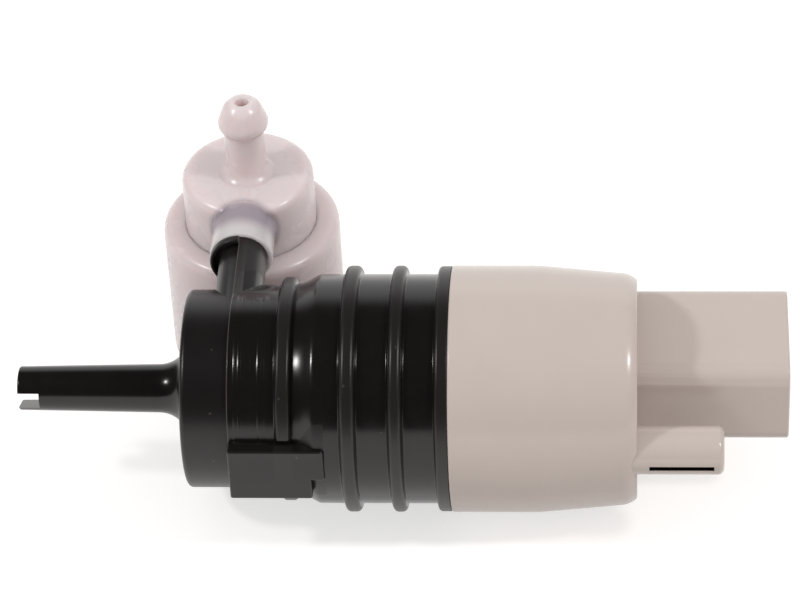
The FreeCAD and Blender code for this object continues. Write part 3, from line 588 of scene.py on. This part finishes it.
@dataclass(frozen=True)
class HousingBlack(Finish):
    """Glossy black moulding with satin rib crowns, turning marks, a few specks of dust and a painted
    highlight along the seam.
    """

    marked: tuple[float, float] = (-29.8, -25.6)
    marked_side: float = 3.0
    marked_radius: tuple[float, float] = (14.0, 15.2)
    cover: tuple[float, float] = (-37.5, -30.9)
    outlet: float = 10.8
    block: tuple[float, float] = (-17.3, -14.85)
    seam: float = -30.8
    # Half-width of the painted highlight along the seam.
    painted_seam_highlight: float = 0.11
    first_rib: tuple[float, float] = (-24.3, -21.7)
    first_crown: float = 15.55
    crowns: float = 16.85

    def extras(self, kit: ShaderKit, tree: Tree) -> None:
        """Add the satin crowns, the painted seam highlight, the turning marks and the dust."""
        radius, along, across = cylinder_place(tree)
        first = calculated(tree, "MULTIPLY", between(tree, radius, self.first_crown, FAR, 0.15),
                           between(tree, along, *self.first_rib, 0.1))
        crown = calculated(tree, "MAXIMUM", first, between(tree, radius, self.crowns, FAR, 0.2))
        spliced(tree, "Roughness", crown, 0.36)
        spliced(tree, "Base Color", crown, (0.0135, 0.0105, 0.0108))
        # Painted highlight: a thin lighter band along the seam stands for light caught on the parting line.
        painted_seam_highlight = between(tree, along, self.seam - self.painted_seam_highlight, self.seam + self.painted_seam_highlight, 0.05)
        spliced(tree, "Base Color", painted_seam_highlight, (0.085, 0.070, 0.066))
        block = calculated(tree, "MULTIPLY", between(tree, along, -FAR, self.block[0], 0.1),
                           between(tree, across, -FAR, self.block[1], 0.05))
        ends = calculated(tree, "MAXIMUM", between(tree, along, *self.cover, 0.1),
                          between(tree, across, self.outlet, FAR, 0.4))
        spliced(tree, "Roughness", calculated(tree, "MAXIMUM", block, ends), 0.35)
        dusted(tree, kit, (0.065, 0.040, 0.036), Size=0.075)
        skin = calculated(tree, "MULTIPLY", between(tree, across, -FAR, self.marked_side, 1),
                          between(tree, radius, *self.marked_radius, 0.1))
        zone = calculated(tree, "MULTIPLY", between(tree, along, *self.marked, 0.3), skin)
        spliced(tree, "Roughness", zone, 0.19)
        marks = added(tree, "ShaderNodeGroup", {"Position": place_of(tree)}, node_tree=kit.tooling)
        ridges = added(tree, "ShaderNodeBump", {
            "Height": calculated(tree, "MULTIPLY", marks.outputs["Height"], zone),
            "Normal": tree.nodes["Relief"].outputs["Normal"], "Distance": 0.21 * MM})
        tree.links.new(ridges.outputs["Normal"], tree.nodes["Principled BSDF"].inputs["Normal"])


@dataclass(frozen=True)
class CapGrey(Finish):
    """Warm grey moulding with a few dark specks, and painted shade inside the vent."""

    vent: tuple[float, float] = (26.5, 37.0)
    vent_centre: float = -12.65
    vent_radius: float = 3.28

    def extras(self, kit: ShaderKit, tree: Tree) -> None:
        """Add the specks and the painted shade inside the vent."""
        away, along, _ = cylinder_place(tree, self.vent_centre)
        # Painted shade: the inside of the vent bore is coloured near-black for the shade in the hole.
        painted_vent_shade = calculated(tree, "MULTIPLY", between(tree, away, -FAR, self.vent_radius, 0.06),
                            between(tree, along, *self.vent, 0.1))
        spliced(tree, "Base Color", painted_vent_shade, (0.012, 0.010, 0.010))
        dusted(tree, kit, (0.40, 0.33, 0.29), Scale=300, Size=0.03, Share=0.06)


@dataclass(frozen=True)
class NaturalNylon(Finish):
    """Milky nylon, with painted shade on the collars where the dark spigots sit inside them."""

    seam: float = -30.8
    spigot_height: float = 10.4
    held: tuple[float, float] = (19.3, 20.9)
    reach: float = 5.5

    def extras(self, kit: ShaderKit, tree: Tree) -> None:
        """Add painted shade on the collars over the held spigots, which ends in a round nose."""
        split = added(tree, "ShaderNodeSeparateXYZ", {"Vector": place_of(tree)}).outputs
        beyond = calculated(tree, "SUBTRACT", split["Y"], self.held[1] * MM)
        height = calculated(tree, "ABSOLUTE", split["Z"])
        distance = length_of(tree, X=calculated(tree, "SUBTRACT", split["X"], self.seam * MM),
                             Y=calculated(tree, "MAXIMUM", beyond, 0),
                             Z=calculated(tree, "SUBTRACT", height, self.spigot_height * MM))
        # Painted shade: the collar is darkened where the spigot sits inside, for its shade seen through the
        # nylon.
        shade = calculated(tree, "MULTIPLY", between(tree, distance, -FAR, self.reach, 0.7),
                           between(tree, split["Y"], self.held[0], FAR, 1.6))
        spliced(tree, "Base Color", shade, (0.37, 0.315, 0.355))


FINISHES: dict[str, Finish] = {
    "black_plastic": HousingBlack("Gloss black moulding", (0.0060, 0.0044, 0.0045), (0.0090, 0.0066, 0.0067),
                                  (0.17, 0.23), grain=5200, waves=420, relief=0.004),
    "grey_plastic": CapGrey("Warm grey moulding", (0.585, 0.505, 0.460), (0.61, 0.53, 0.485),
                            (0.21, 0.25), grain=3600, waves=150, relief=0.005),
    "natural_nylon": NaturalNylon("Milky nylon", (0.755, 0.650, 0.652), (0.785, 0.675, 0.676),
                                  (0.22, 0.30), grain=2600, waves=190, relief=0.003, subsurface=0.9,
                                  depth=(3.6, 3.0, 2.9)),
    "seal_rubber": Finish("Seal rubber", (0.016, 0.016, 0.017), (0.030, 0.029, 0.028), (0.55, 0.75),
                          grain=5200, relief=0.02),
    "bronze": Finish("Sintered bronze", (0.42, 0.26, 0.12), (0.55, 0.36, 0.19), (0.35, 0.5), metallic=1.0,
                     grain=6000, relief=0.02),
    "can_steel": Finish("Zinc-plated can", (0.56, 0.57, 0.58), (0.70, 0.70, 0.69), (0.22, 0.36),
                        metallic=1.0, grain=3000, relief=0.008),
    "ferrite": Finish("Ferrite", (0.045, 0.043, 0.045), (0.085, 0.08, 0.08), (0.5, 0.7), grain=5000,
                      relief=0.03),
    "bell_plastic": Finish("White bell moulding", (0.70, 0.68, 0.63), (0.78, 0.76, 0.71), (0.35, 0.45),
                           grain=3600, relief=0.01),
    "carbon": Finish("Brush carbon", (0.03, 0.03, 0.032), (0.06, 0.058, 0.056), (0.45, 0.62), grain=7000,
                     relief=0.02),
    "tinned_brass": Finish("Tinned brass", (0.66, 0.64, 0.60), (0.78, 0.75, 0.70), (0.2, 0.34),
                           metallic=1.0, grain=4200, relief=0.006),
    "shaft_steel": Finish("Ground steel", (0.60, 0.60, 0.61), (0.74, 0.74, 0.74), (0.14, 0.24),
                          metallic=1.0, grain=7000, relief=0.003),
    "lamination": Finish("Core sheets", (0.20, 0.20, 0.21), (0.34, 0.33, 0.33), (0.4, 0.55), metallic=0.9,
                         grain=3200, relief=0.03),
    "copper": Finish("Enamelled wire", (0.48, 0.16, 0.055), (0.66, 0.26, 0.10), (0.25, 0.38), metallic=0.8,
                     grain=2600, relief=0.05),
    "impeller_plastic": Finish("Ivory impeller moulding", (0.66, 0.62, 0.52), (0.74, 0.70, 0.60),
                               (0.32, 0.44), grain=3600, relief=0.01, subsurface=0.2, depth=(1.2, 0.9, 0.7)),
    "washer_plastic": Finish("Washer film", (0.25, 0.12, 0.06), (0.33, 0.17, 0.09), (0.35, 0.5), grain=4200,
                             relief=0.01),
}


@dataclass
class Workshop:
    """What the makers of pieces share."""

    lathe: LatheTree
    repeat: RepeatTree
    materials: dict[str, Material]

    def dress(self, thing: Thing, slot: str, node: str) -> Thing:
        """Give a finished piece its material, its body and the node that it stands for.

        Args:
            thing: The finished piece.
            slot: Name of its material slot.
            node: The node that it replaces.

        Returns:
            The piece.
        """
        thing.data.materials.clear()
        thing.data.materials.append(self.materials[slot])
        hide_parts(node)
        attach(thing, "housing")
        LOG.info("%s: %d faces", thing.name, len(thing.data.polygons))
        return thing


@dataclass
class Stations:
    """Places along the motor axis and of the outlets, in millimetres."""

    seam: float = -30.8
    cover_face: float = -37.6
    inlet_tip: float = -62.0
    chamber_floor: float = -26.0
    chamber_radius: float = 12.6
    spigot_height: float = 10.4
    spigot_bore: float = 2.0
    spigot_end: float = 22.8
    collar_start: float = 16.4
    collar_end: float = 24.4
    capsule: float = 31.6
    motor_bore: float = 13.95


@dataclass
class Spigots:
    """The two outlet tubes, of which the cover carries one half and the housing the other."""

    at: Stations
    front_radius: float = 3.05
    rear_radius: float = 3.72
    nose_radius: float = 2.9
    nose_start: float = 18.6
    ring_radius: float = 4.42
    ring_bore: float = 3.85
    ring_start: float = 15.2
    ring_end: float = 16.3

    def centre(self, sign: int) -> Corner:
        """Where the upper or the lower tube leaves the motor's plane."""
        return self.at.seam, 0, sign * self.at.spigot_height

    def tube(self, shop: Workshop, radius: float, sign: int) -> Thing:
        """One whole tube with its nose, at the upper or lower outlet."""
        return shop.lathe.core("tube", [
            (2.0, 0, 0), (2.0, radius, 0), (self.nose_start, radius, 0.2),
            (self.nose_start + 0.3, self.nose_radius, 0.2), (self.at.spigot_end, self.nose_radius, 0.35),
            (self.at.spigot_end, 0, 0)], Axis.ALONG_Y, self.centre(sign))

    def stop(self, shop: Workshop, sign: int) -> list[Thing]:
        """The disc sector and the thin ring on it that stop the collar, on the cover's half."""
        web = shop.lathe.rod("web", (self.ring_end - 0.3, self.ring_end - 0.02), self.ring_radius - 0.1,
                             Axis.ALONG_Y, self.centre(sign))
        outline = rounded_outline([
            (self.ring_start, self.ring_bore, 0.12), (self.ring_start, self.ring_radius, 0.25),
            (self.ring_end, self.ring_radius, 0.1), (self.ring_end, self.ring_bore, 0.1)])
        return [web, shop.lathe.turn("ring", outline, Axis.ALONG_Y, self.centre(sign))]

    def bores(self, shop: Workshop) -> list[Thing]:
        """The waterways through both tubes."""
        return [shop.lathe.rod("bore", (0, self.at.spigot_end + 1), self.at.spigot_bore, Axis.ALONG_Y,
                               self.centre(sign), 64) for sign in (1, -1)]

    def half(self, shop: Workshop, front: bool) -> list[Thing]:
        """Both tubes on one side of the seam.

        Args:
            shop: The shared makers.
            front: Whether it is the cover's side.

        Returns:
            The half tubes, upper first.
        """
        reach = (self.at.cover_face, self.at.seam) if front else (self.at.seam, self.at.seam + 6.8)
        halves = []
        for sign in (1, -1):
            height = sign * self.at.spigot_height
            side = bar("side", (-1, self.at.spigot_end + 1, height - 5, height + 5), reach, SHARP, SHARP, 1)
            tube = self.tube(shop, self.front_radius if front else self.rear_radius, sign)
            if front:
                worked(tube, Operation.JOIN, *self.stop(shop, sign))
            halves.append(worked(tube, Operation.KEEP_SHARED, side))
        return halves


@dataclass
class InletCover:
    """The impeller chamber's cover with the long inlet tube."""

    at: Stations
    spigots: Spigots
    radius: float = 14.1
    edge: float = 0.8
    tip_radius: float = 3.13
    root_radius: float = 3.42
    flare: float = 4.3
    bore: float = 2.1
    slot_width: float = 2.4
    slot_depth: float = 3.1
    slot_offset: float = -1.15
    slot_turn: float = -26.0

    def make(self, shop: Workshop) -> Thing:
        """Turn, join and cut the cover."""
        at = self.at
        outline = rounded_outline([
            (at.inlet_tip, self.bore, 0.15), (at.inlet_tip, self.tip_radius, 0.3),
            (at.cover_face, self.root_radius + 0.12, self.flare),
            (at.cover_face, self.radius, self.edge), (at.seam, self.radius, 0.12),
            (at.seam, at.chamber_radius, 0), (at.cover_face + 1.5, at.chamber_radius, 0.4),
            (at.cover_face + 1.5, self.bore, 0.5)], step=7)
        cover = shop.lathe.turn("inlet_cover_moulding", outline, segments=192)
        room = shop.lathe.rod("room", (at.cover_face + 1.5, at.seam + 1), at.chamber_radius, segments=192)
        worked(cover, Operation.JOIN, *self.spigots.half(shop, True))
        notch = bar("notch", (-6, 6, self.slot_offset - self.slot_width / 2,
                              self.slot_offset + self.slot_width / 2),
                    (at.inlet_tip - 1, at.inlet_tip + self.slot_depth), SHARP, SHARP, 1)
        notch.data.transform(Matrix.Rotation(math.radians(self.slot_turn), 4, "X"))
        worked(cover, Operation.CUT, room, notch, *self.spigots.bores(shop))
        return shop.dress(smoothed(cover), "black_plastic", "inlet_cover")


@dataclass
class Rib:
    """One rib of the housing: where it starts, how wide and high it is."""

    start: float
    width: float
    top: float
    foot: float
    crest: float = 0.7


@dataclass
class Housing:
    """The ribbed housing with the locating block."""

    at: Stations
    spigots: Spigots
    ribs: tuple[Rib, ...] = (Rib(-24.15, 2.35, 15.9, 14.8, 0.5), Rib(-15.1, 2.4, 17.5, 16.3),
                             Rib(-8.4, 2.2, 17.5, 16.3))
    body: float = 14.8
    barrel: float = 16.3
    shoulder: float = -18.5
    flange: float = -1.9
    flange_radius: float = 17.42
    neck: float = 15.4
    neck_end: float = 4.2
    block: tuple[float, float, float] = (-16.7, -5.8, 3.1)
    block_end: float = -19.2
    nose_end: float = -17.2
    slope_radius: float = 9.0
    slope_angles: tuple[float, float] = (14.5, 29.0)
    nose_bottom: float = -2.3
    bay: tuple[Corner, ...] = (
        (-18.2, 13.95, 0.3), (-18.2, 12.4, 0.2), (-23.0, 12.4, 0.4), (-23.0, 5.4, 0.2), (-21.6, 5.4, 0.2),
        (-21.6, 4.0, 0.15), (-24.6, 4.0, 0.1), (-24.6, 1.3, 0.1), (-26.0, 1.3, 0.1))

    def slope(self, start: float, radius: float) -> list[Corner]:
        """The hollow slope behind the first rib, up to the barrel.

        Args:
            start: Where the slope leaves the rib.
            radius: Distance from the axis there.

        Returns:
            Corners of the outline.
        """
        corners = arc((start, radius), self.slope_radius, self.slope_angles, 1)
        along, height, _ = corners[-1]
        rise = math.tan(math.radians(self.slope_angles[1]))
        corners.append((along + (self.barrel - height) / rise, self.barrel, 1.5))
        return corners

    def outline(self) -> list[Point]:
        """The section of the housing, from the seam round to its bore."""
        at = self.at
        corners: list[Corner] = [(at.seam, self.body, 0.12)]
        for rib in self.ribs:
            corners += [(rib.start, rib.foot, 0.25), (rib.start + 0.3, rib.top, rib.crest),
                        (rib.start + rib.width - 0.3, rib.top, rib.crest),
                        (rib.start + rib.width, rib.foot, 0.25)]
            if rib is self.ribs[0]:
                corners += self.slope(rib.start + rib.width, rib.foot + 0.15)
        groove = self.neck - 0.65
        corners += [(self.flange, self.barrel, 0.2), (self.flange + 0.15, self.flange_radius, 0.55),
                    (0, self.flange_radius, 0.15), (0, self.neck, 0.2), (1.3, self.neck, 0.1),
                    (1.3, groove, 0.1), (2.6, groove, 0.1), (2.6, self.neck, 0.1),
                    (self.neck_end, self.neck, 0.3), (self.neck_end, at.motor_bore, 0.2), *self.bay,
                    (at.chamber_floor, at.chamber_radius, 0.4), (at.seam, at.chamber_radius, 0.1)]
        return rounded_outline(corners, step=9)

    def make(self, shop: Workshop) -> Thing:
        """Turn, join and cut the housing."""
        at = self.at
        housing = shop.lathe.turn("housing_moulding", self.outline(), segments=224)
        front, bottom, top = self.block
        block = bar("block", (front, -13.2, bottom, top), (at.seam, self.block_end), 0.3, 0.35, 4)
        nose = bar("nose", (front, -13.2, self.nose_bottom, top - 0.01), (at.seam + 1, self.nose_end),
                   0.3, 0.7, 5)
        first = self.ribs[0]
        gap = bar("gap", (front, -self.body - 0.04, top - 0.3, top + 1.0),
                  (first.start - 0.2, first.start + first.width + 0.15), 0.25, 0.02, 3)
        halves = self.spigots.half(shop, False)
        worked(housing, Operation.CUT, gap)
        worked(housing, Operation.JOIN, block, nose, *halves)
        room = shop.lathe.rod("room", (at.seam - 1, at.chamber_floor), at.chamber_radius, segments=224)
        worked(housing, Operation.CUT, room, *self.spigots.bores(shop))
        return shop.dress(smoothed(housing), "black_plastic", "pump_body")


@dataclass
class MotorCap:
    """The grey cap with the connector shroud and the slotted vent peg."""

    at: Stations
    radius: float = 17.5
    end_radius: float = 16.25
    taper_start: float = 12.4
    length: float = 26.2
    inside: float = 24.2
    bore: float = 15.2
    socket: float = 15.5
    neck_end: float = 4.3
    edge: float = 3.4
    shroud_end: float = 47.6
    edge_start: float = 24.1
    edge_angles: tuple[float, float] = (5.0, 38.0)
    shroud: tuple[float, float, float, float] = (-4.4, 15.0, -6.75, 6.75)
    socket_room: tuple[float, float, float, float] = (-1.95, 12.35, -4.6, 4.6)
    lead_in: float = 0.6
    shroud_floor: float = 29.2
    shroud_corner: float = 2.6
    peg_drop: float = 12.65
    peg_radius: float = 3.4
    peg_end: float = 38.3
    peg_bore: float = 2.3
    slit: tuple[float, float, float, float] = (27.9, 36.9, -0.95, -0.05)
    pins: tuple[float, float] = (2.0, 8.4)
    ribs: int = 6

    def shell(self, shop: Workshop) -> Thing:
        """The turned shell."""
        taper = (self.radius - self.end_radius) / (self.length - self.taper_start)
        turn = arc((self.edge_start, self.radius - taper * (self.edge_start - self.taper_start)), self.edge,
                   self.edge_angles, -1)
        along, height, _ = turn[-1]
        last = height - (self.length - along) * math.tan(math.radians(self.edge_angles[1]))
        outline = rounded_outline([
            (0.03, self.socket, 0.2), (0.03, self.radius, 0.3), (self.taper_start, self.radius, 26), *turn,
            (self.length, last, 0.85), (self.length, 0, 0), (self.inside, 0, 0),
            (self.inside, self.bore, 0.5), (self.neck_end, self.bore, 0.1),
            (self.neck_end, self.socket, 0.1)], step=6)
        return shop.lathe.turn("cap_moulding", outline, segments=224)

    def peg(self, shop: Workshop) -> Thing:
        """The vent peg, rounded at its end."""
        start = self.length - 1.6
        return shop.lathe.core("peg", [
            (start, 0, 0), (start, self.peg_radius, 0), (self.peg_end, self.peg_radius, 0.95),
            (self.peg_end, 0, 0)], centre=(0, -self.peg_drop, 0))

    def make(self, shop: Workshop) -> Thing:
        """Turn, join and cut the cap."""
        cap = self.shell(shop)
        shroud = bar("shroud", self.shroud, (self.length - 1.0, self.shroud_end), self.shroud_corner, 0.35)
        rest = bar("rest", (self.at.motor_bore, self.bore + 0.3, -0.8, 0.8), (6.0, self.inside + 0.2),
                   0.2, 0.2, 2)
        shop.repeat.spread(rest, self.ribs)
        worked(cap, Operation.JOIN, shroud, self.peg(shop), rest)
        y0, y1, z0, z1 = self.socket_room
        socket = bar("socket", self.socket_room, (self.shroud_floor, self.shroud_end + 2), 0.5, SHARP, 4)
        lead = bar("lead", (y0 - self.lead_in, y1 + self.lead_in, z0 - self.lead_in, z1 + self.lead_in),
                   (self.shroud_end - 1.4, self.shroud_end + 2), 1.1, SHARP, 4)
        vent = shop.lathe.rod("vent", (self.length - 3, self.peg_end - 1), self.peg_bore,
                              centre=(0, -self.peg_drop, 0), segments=64)
        slit = bar("slit", (-self.peg_drop - 6, -self.peg_drop, *self.slit[2:]), self.slit[:2], SHARP,
                   SHARP, 1)
        blades = [bar("blade", (y - 0.4, y + 0.4, -1.4, 1.4), (self.inside - 1, self.shroud_floor + 1),
                      SHARP, SHARP, 1) for y in self.pins]
        worked(cap, Operation.CUT, socket, lead, vent, slit, *blades)
        return shop.dress(smoothed(cap), "grey_plastic", "motor_cap")


def nipple(base: float) -> list[Corner]:
    """The outside of a barbed hose nipple, from its base to the axis at its tip.

    Args:
        base: Where the nipple starts along its axis, in millimetres.

    Returns:
        Corners of the outline.
    """
    stem = base + 7.8
    barb = stem + 0.8
    nose = barb + 0.7 + 3.1
    return [(base, 4.0, 0.3), (base + 0.9, 2.95, 1.2), (stem, 2.92, 0.3), (barb, 3.65, 0.5),
            (barb + 0.7, 3.68, 1.2), (nose - 0.5, 2.75, 1.5), (nose + 0.45, 1.7, 0.9),
            (base + 12.85, 0, 0)]


@dataclass
class Collar:
    """A collar of the valve capsule, which holds one spigot."""

    at: Stations
    sign: int
    rounding: float
    radius: float = 4.55
    bore: float = 3.85
    socket_end: float = 23.2

    def sleeve(self, shop: Workshop) -> Thing:
        """The collar's outside, as a solid."""
        at = self.at
        return shop.lathe.core("collar", [
            (at.collar_start, 0, 0), (at.collar_start, self.radius, 0.25),
            (at.collar_end, self.radius, self.rounding), (at.collar_end, 0, 0)], Axis.ALONG_Y,
            (at.seam, 0, self.sign * at.spigot_height))

    def mouth(self, shop: Workshop) -> Thing:
        """The room of the spigot and the waterway behind it."""
        at = self.at
        return shop.lathe.core("mouth", [
            (at.collar_start - 1, 0, 0), (at.collar_start - 1, self.bore, 0), (self.socket_end, self.bore, 0),
            (self.socket_end, at.spigot_bore, 0), (at.collar_end + 2.4, at.spigot_bore, 0),
            (at.collar_end + 2.4, 0, 0)], Axis.ALONG_Y, (at.seam, 0, self.sign * at.spigot_height))


@dataclass
class ValveCap:
    """The upper half of the valve capsule: bonnet, upper nipple and upper collar."""

    at: Stations
    radius: float = 9.65
    foot: float = 0.4
    top: float = 14.4
    edge: float = 1.25
    bore: float = 7.9
    seat_radius: float = 3.0
    seat_bore: float = 1.5
    nipple_bore: float = 1.0
    seat_face: float = 1.75

    def make(self, shop: Workshop) -> Thing:
        """Turn, join, cut and flow the upper half."""
        at = self.at
        centre = (at.seam, at.capsule, 0)
        collar = Collar(at, 1, 0.8)
        bonnet = shop.lathe.core("valve_cap_moulding", [
            (self.foot, 0, 0), (self.foot, self.radius, 0.25), (self.top, self.radius, self.edge),
            *nipple(self.top)], Axis.ALONG_Z, centre, 128)
        worked(bonnet, Operation.JOIN, collar.sleeve(shop))
        room = shop.lathe.turn("room", rounded_outline([
            (self.foot - 1, self.seat_radius, 0), (self.foot - 1, self.bore, 0),
            (self.top - 1.6, self.bore, 0.6), (self.top - 1.6, self.seat_radius, 0.4)]),
            Axis.ALONG_Z, centre)
        lift = shop.lathe.rod("lift", (self.foot - 1, self.seat_face), self.seat_radius + 0.1, Axis.ALONG_Z,
                              centre)
        way = shop.lathe.core("way", [
            (self.foot - 1, 0, 0), (self.foot - 1, self.seat_bore, 0), (self.top, self.nipple_bore, 0),
            (self.top + 14, self.nipple_bore, 0), (self.top + 14, 0, 0)], Axis.ALONG_Z, centre, 64)
        worked(bonnet, Operation.CUT, room, lift, way, collar.mouth(shop))
        remeshed(bonnet, 0.21, 5)
        return shop.dress(bonnet, "natural_nylon", "valve_cap")


@dataclass
class ValveBody:
    """The lower half of the valve capsule: skirt, cup, lower collar and the rear nipple."""

    at: Stations
    radius: float = 13.0
    bottom: float = -17.5
    shoulder: float = 5.4
    edge: float = 1.35
    well: float = 9.6
    skirt_bore: float = 11.4
    cup: float = 10.0
    cup_bore: float = 8.2
    ceiling: float = -2.2
    base: float = -15.7
    nipple_drop: float = 9.5
    elbow: float = 3.2
    nipple_base: float = 13.0
    nipple_bore: float = 1.2
    seat_radius: float = 3.0
    seat_bore: float = 1.5
    seat_face: float = -1.75

    def make(self, shop: Workshop) -> Thing:
        """Turn, join, cut and flow the lower half."""
        at = self.at
        centre = (at.seam, at.capsule, 0)
        elbow_at = (at.seam, at.capsule, -self.nipple_drop)
        collar = Collar(at, -1, 0.4)
        cup = shop.lathe.core("valve_body_moulding", [
            (self.bottom, 0, 0), (self.bottom, self.cup, 0.4), (self.ceiling, self.cup, 0.3),
            (self.ceiling, self.skirt_bore, 0.3), (self.bottom, self.skirt_bore, 0.3),
            (self.bottom, self.radius, 0.4), (self.shoulder, self.radius, self.edge),
            (self.shoulder, self.well, 0.12), (-0.4, self.well, 0.2), (-0.4, self.cup_bore, 0.2),
            (self.base, self.cup_bore, 0.6), (self.base, 0, 0)], Axis.ALONG_Z, centre, 144)
        sleeve = collar.sleeve(shop)
        seat = shop.lathe.rod("seat", (-self.nipple_drop, self.seat_face), self.seat_radius, Axis.ALONG_Z,
                              centre)
        outlet = shop.lathe.core("outlet", [
            (-self.elbow, 0, 0), (-self.elbow, self.elbow, 2.6), (12.2, self.elbow, 0), (12.2, 4.0, 0),
            *nipple(self.nipple_base)], Axis.ALONG_Y, elbow_at)
        worked(cup, Operation.JOIN, sleeve, seat, outlet)
        rise = shop.lathe.rod("rise", (-self.nipple_drop - 1.5, self.seat_face + 1), self.seat_bore,
                              Axis.ALONG_Z, centre, 64)
        way = shop.lathe.rod("way", (0, 28), self.nipple_bore, Axis.ALONG_Y, elbow_at, 64)
        worked(cup, Operation.CUT, collar.mouth(shop), rise, way)
        remeshed(cup, 0.31, 4)
        return shop.dress(cup, "natural_nylon", "valve_body")


@dataclass
class Studio:
    """The pale floor, the lamps, the surroundings and the camera."""

    floor_height: float = -17.5
    lamp_reach: float = 1.0
    lamp_size: float = 0.11
    lamp_power: float = 2.7
    lamp_way: Corner = (0.677, -0.185, 0.712)
    surround: float = 0.64
    dim: float = 0.045
    rise: tuple[float, float] = (0.66, 0.88)
    floor_glow: float = 0.64
    floor_colour: tuple[float, float, float, float] = (0.58, 0.555, 0.54, 1)
    tilt: float = 41.0
    swing: float = 3.6
    distance: float = 555.0
    lens: float = 175.5
    aim: tuple[float, float] = (-7.5, 12.6)

    def floor(self) -> None:
        """Lay the floor, which shows white and keeps the object's shadow."""
        mesh = bpy.data.meshes.new("floor")
        reach, z = 4.0, self.floor_height * MM - 0.00002
        mesh.from_pydata([(-reach, -reach, z), (reach, -reach, z), (reach, reach, z), (-reach, reach, z)], [],
                         [(0, 1, 2, 3)])
        floor = linked("floor", mesh)
        made = bpy.data.materials.new("White table")
        made.use_nodes = True
        tree = made.node_tree
        path = added(tree, "ShaderNodeLightPath").outputs
        seen = calculated(tree, "MAXIMUM", path["Is Camera Ray"], path["Is Glossy Ray"])
        seen = calculated(tree, "MAXIMUM", seen, path["Is Transmission Ray"])
        shader = tree.nodes["Principled BSDF"]
        shader.inputs["Base Color"].default_value = self.floor_colour
        shader.inputs["Roughness"].default_value = 0.9
        shader.inputs["Specular IOR Level"].default_value = 0.1
        shader.inputs["Emission Color"].default_value = (1, 1, 1, 1)
        level = calculated(tree, "MULTIPLY", seen, self.floor_glow)
        tree.links.new(level, shader.inputs["Emission Strength"])
        mesh.materials.append(made)

    def surroundings(self) -> None:
        """Light the world: even for the object's own shade, and for gloss dim above and white behind."""
        world = bpy.data.worlds.new("studio")
        bpy.context.scene.world = world
        world.use_nodes = True
        tree = world.node_tree
        place = added(tree, "ShaderNodeTexCoord")
        split = added(tree, "ShaderNodeSeparateXYZ", {"Vector": place.outputs["Generated"]})
        rise = added(tree, "ShaderNodeMapRange", {
            "Value": split.outputs["Y"], "From Min": self.rise[0], "From Max": self.rise[1],
            "To Min": self.dim, "To Max": 1.0}, interpolation_type="SMOOTHSTEP")
        path = added(tree, "ShaderNodeLightPath").outputs
        gloss = added(tree, "ShaderNodeMix", {
            "Factor": path["Is Glossy Ray"], "A": self.surround, "B": rise.outputs["Result"]})
        seen = added(tree, "ShaderNodeMix", {
            "Factor": path["Is Camera Ray"], "A": gloss.outputs["Result"], "B": 1.0})
        ground = tree.nodes["Background"]
        ground.inputs["Color"].default_value = (1, 1, 1, 1)
        tree.links.new(seen.outputs["Result"], ground.inputs["Strength"])

    def lamps(self) -> None:
        """Hang the two key lamps, one on each side."""
        for side in (-1, 1):
            way = Vector((side * self.lamp_way[0], *self.lamp_way[1:])).normalized()
            data = bpy.data.lights.new("key", "AREA")
            data.shape = "DISK"
            data.size = self.lamp_size
            data.energy = self.lamp_power
            data.color = (1.0, 0.985, 0.97)
            lamp = linked("key", data)
            lamp.location = way * self.lamp_reach
            lamp.rotation_mode = "QUATERNION"
            lamp.rotation_quaternion = way.to_track_quat("Z", "Y")

    def camera(self) -> None:
        """Set the camera where the photographer stood."""
        tilt, swing = math.radians(self.tilt), math.radians(self.swing)
        up = Vector((0, math.sin(tilt), math.cos(tilt)))
        back = Vector((math.sin(swing), -math.cos(swing) * math.cos(tilt), math.cos(swing) * math.sin(tilt)))
        right = up.cross(back)
        aim = Vector((self.aim[0], 0, 0)) + up * self.aim[1]
        data = bpy.data.cameras.new("camera")
        data.lens = self.lens
        data.sensor_width = 36
        data.clip_start = 0.01
        data.clip_end = 20
        camera = linked("camera", data)
        turn = Matrix((right, up, back)).transposed().to_4x4()
        camera.matrix_world = Matrix.Translation((aim + back * self.distance) * MM) @ turn
        bpy.context.scene.camera = camera

    def build(self) -> None:
        """Set up the whole studio."""
        bpy.context.scene.view_settings.view_transform = "Standard"
        self.floor()
        self.surroundings()
        self.lamps()
        self.camera()


@dataclass
class Pump:
    """The whole pump: four dressed mouldings over the solids that stay."""

    at: Stations = field(default_factory=Stations)

    def dress_solids(self, materials: dict[str, Material]) -> None:
        """Give each solid that stays the material of its slot.

        Args:
            materials: The material of each slot.
        """
        slots = {row["node"]: row["material_slot"] for row in frame["record"]["subparts"]}
        for name, thing in frame["nodes"].items():
            for place in thing.material_slots:
                place.material = materials[slots[name]]
            LOG.info("%s: %s", name, slots[name])

    def make(self) -> None:
        """Build the mouldings and dress everything."""
        kit = ShaderKit()
        materials = {slot: finish.material(kit) for slot, finish in FINISHES.items()}
        self.dress_solids(materials)
        shop = Workshop(LatheTree(), RepeatTree(), materials)
        spigots = Spigots(self.at)
        for maker in (InletCover(self.at, spigots), Housing(self.at, spigots), MotorCap(self.at),
                      ValveCap(self.at), ValveBody(self.at)):
            maker.make(shop)


def main() -> None:
    """Build the studio and the pump."""
    logging.basicConfig(level=logging.INFO, format="%(message)s")
    Studio().build()
    Pump().make()


if __name__ == "__main__":
    main()
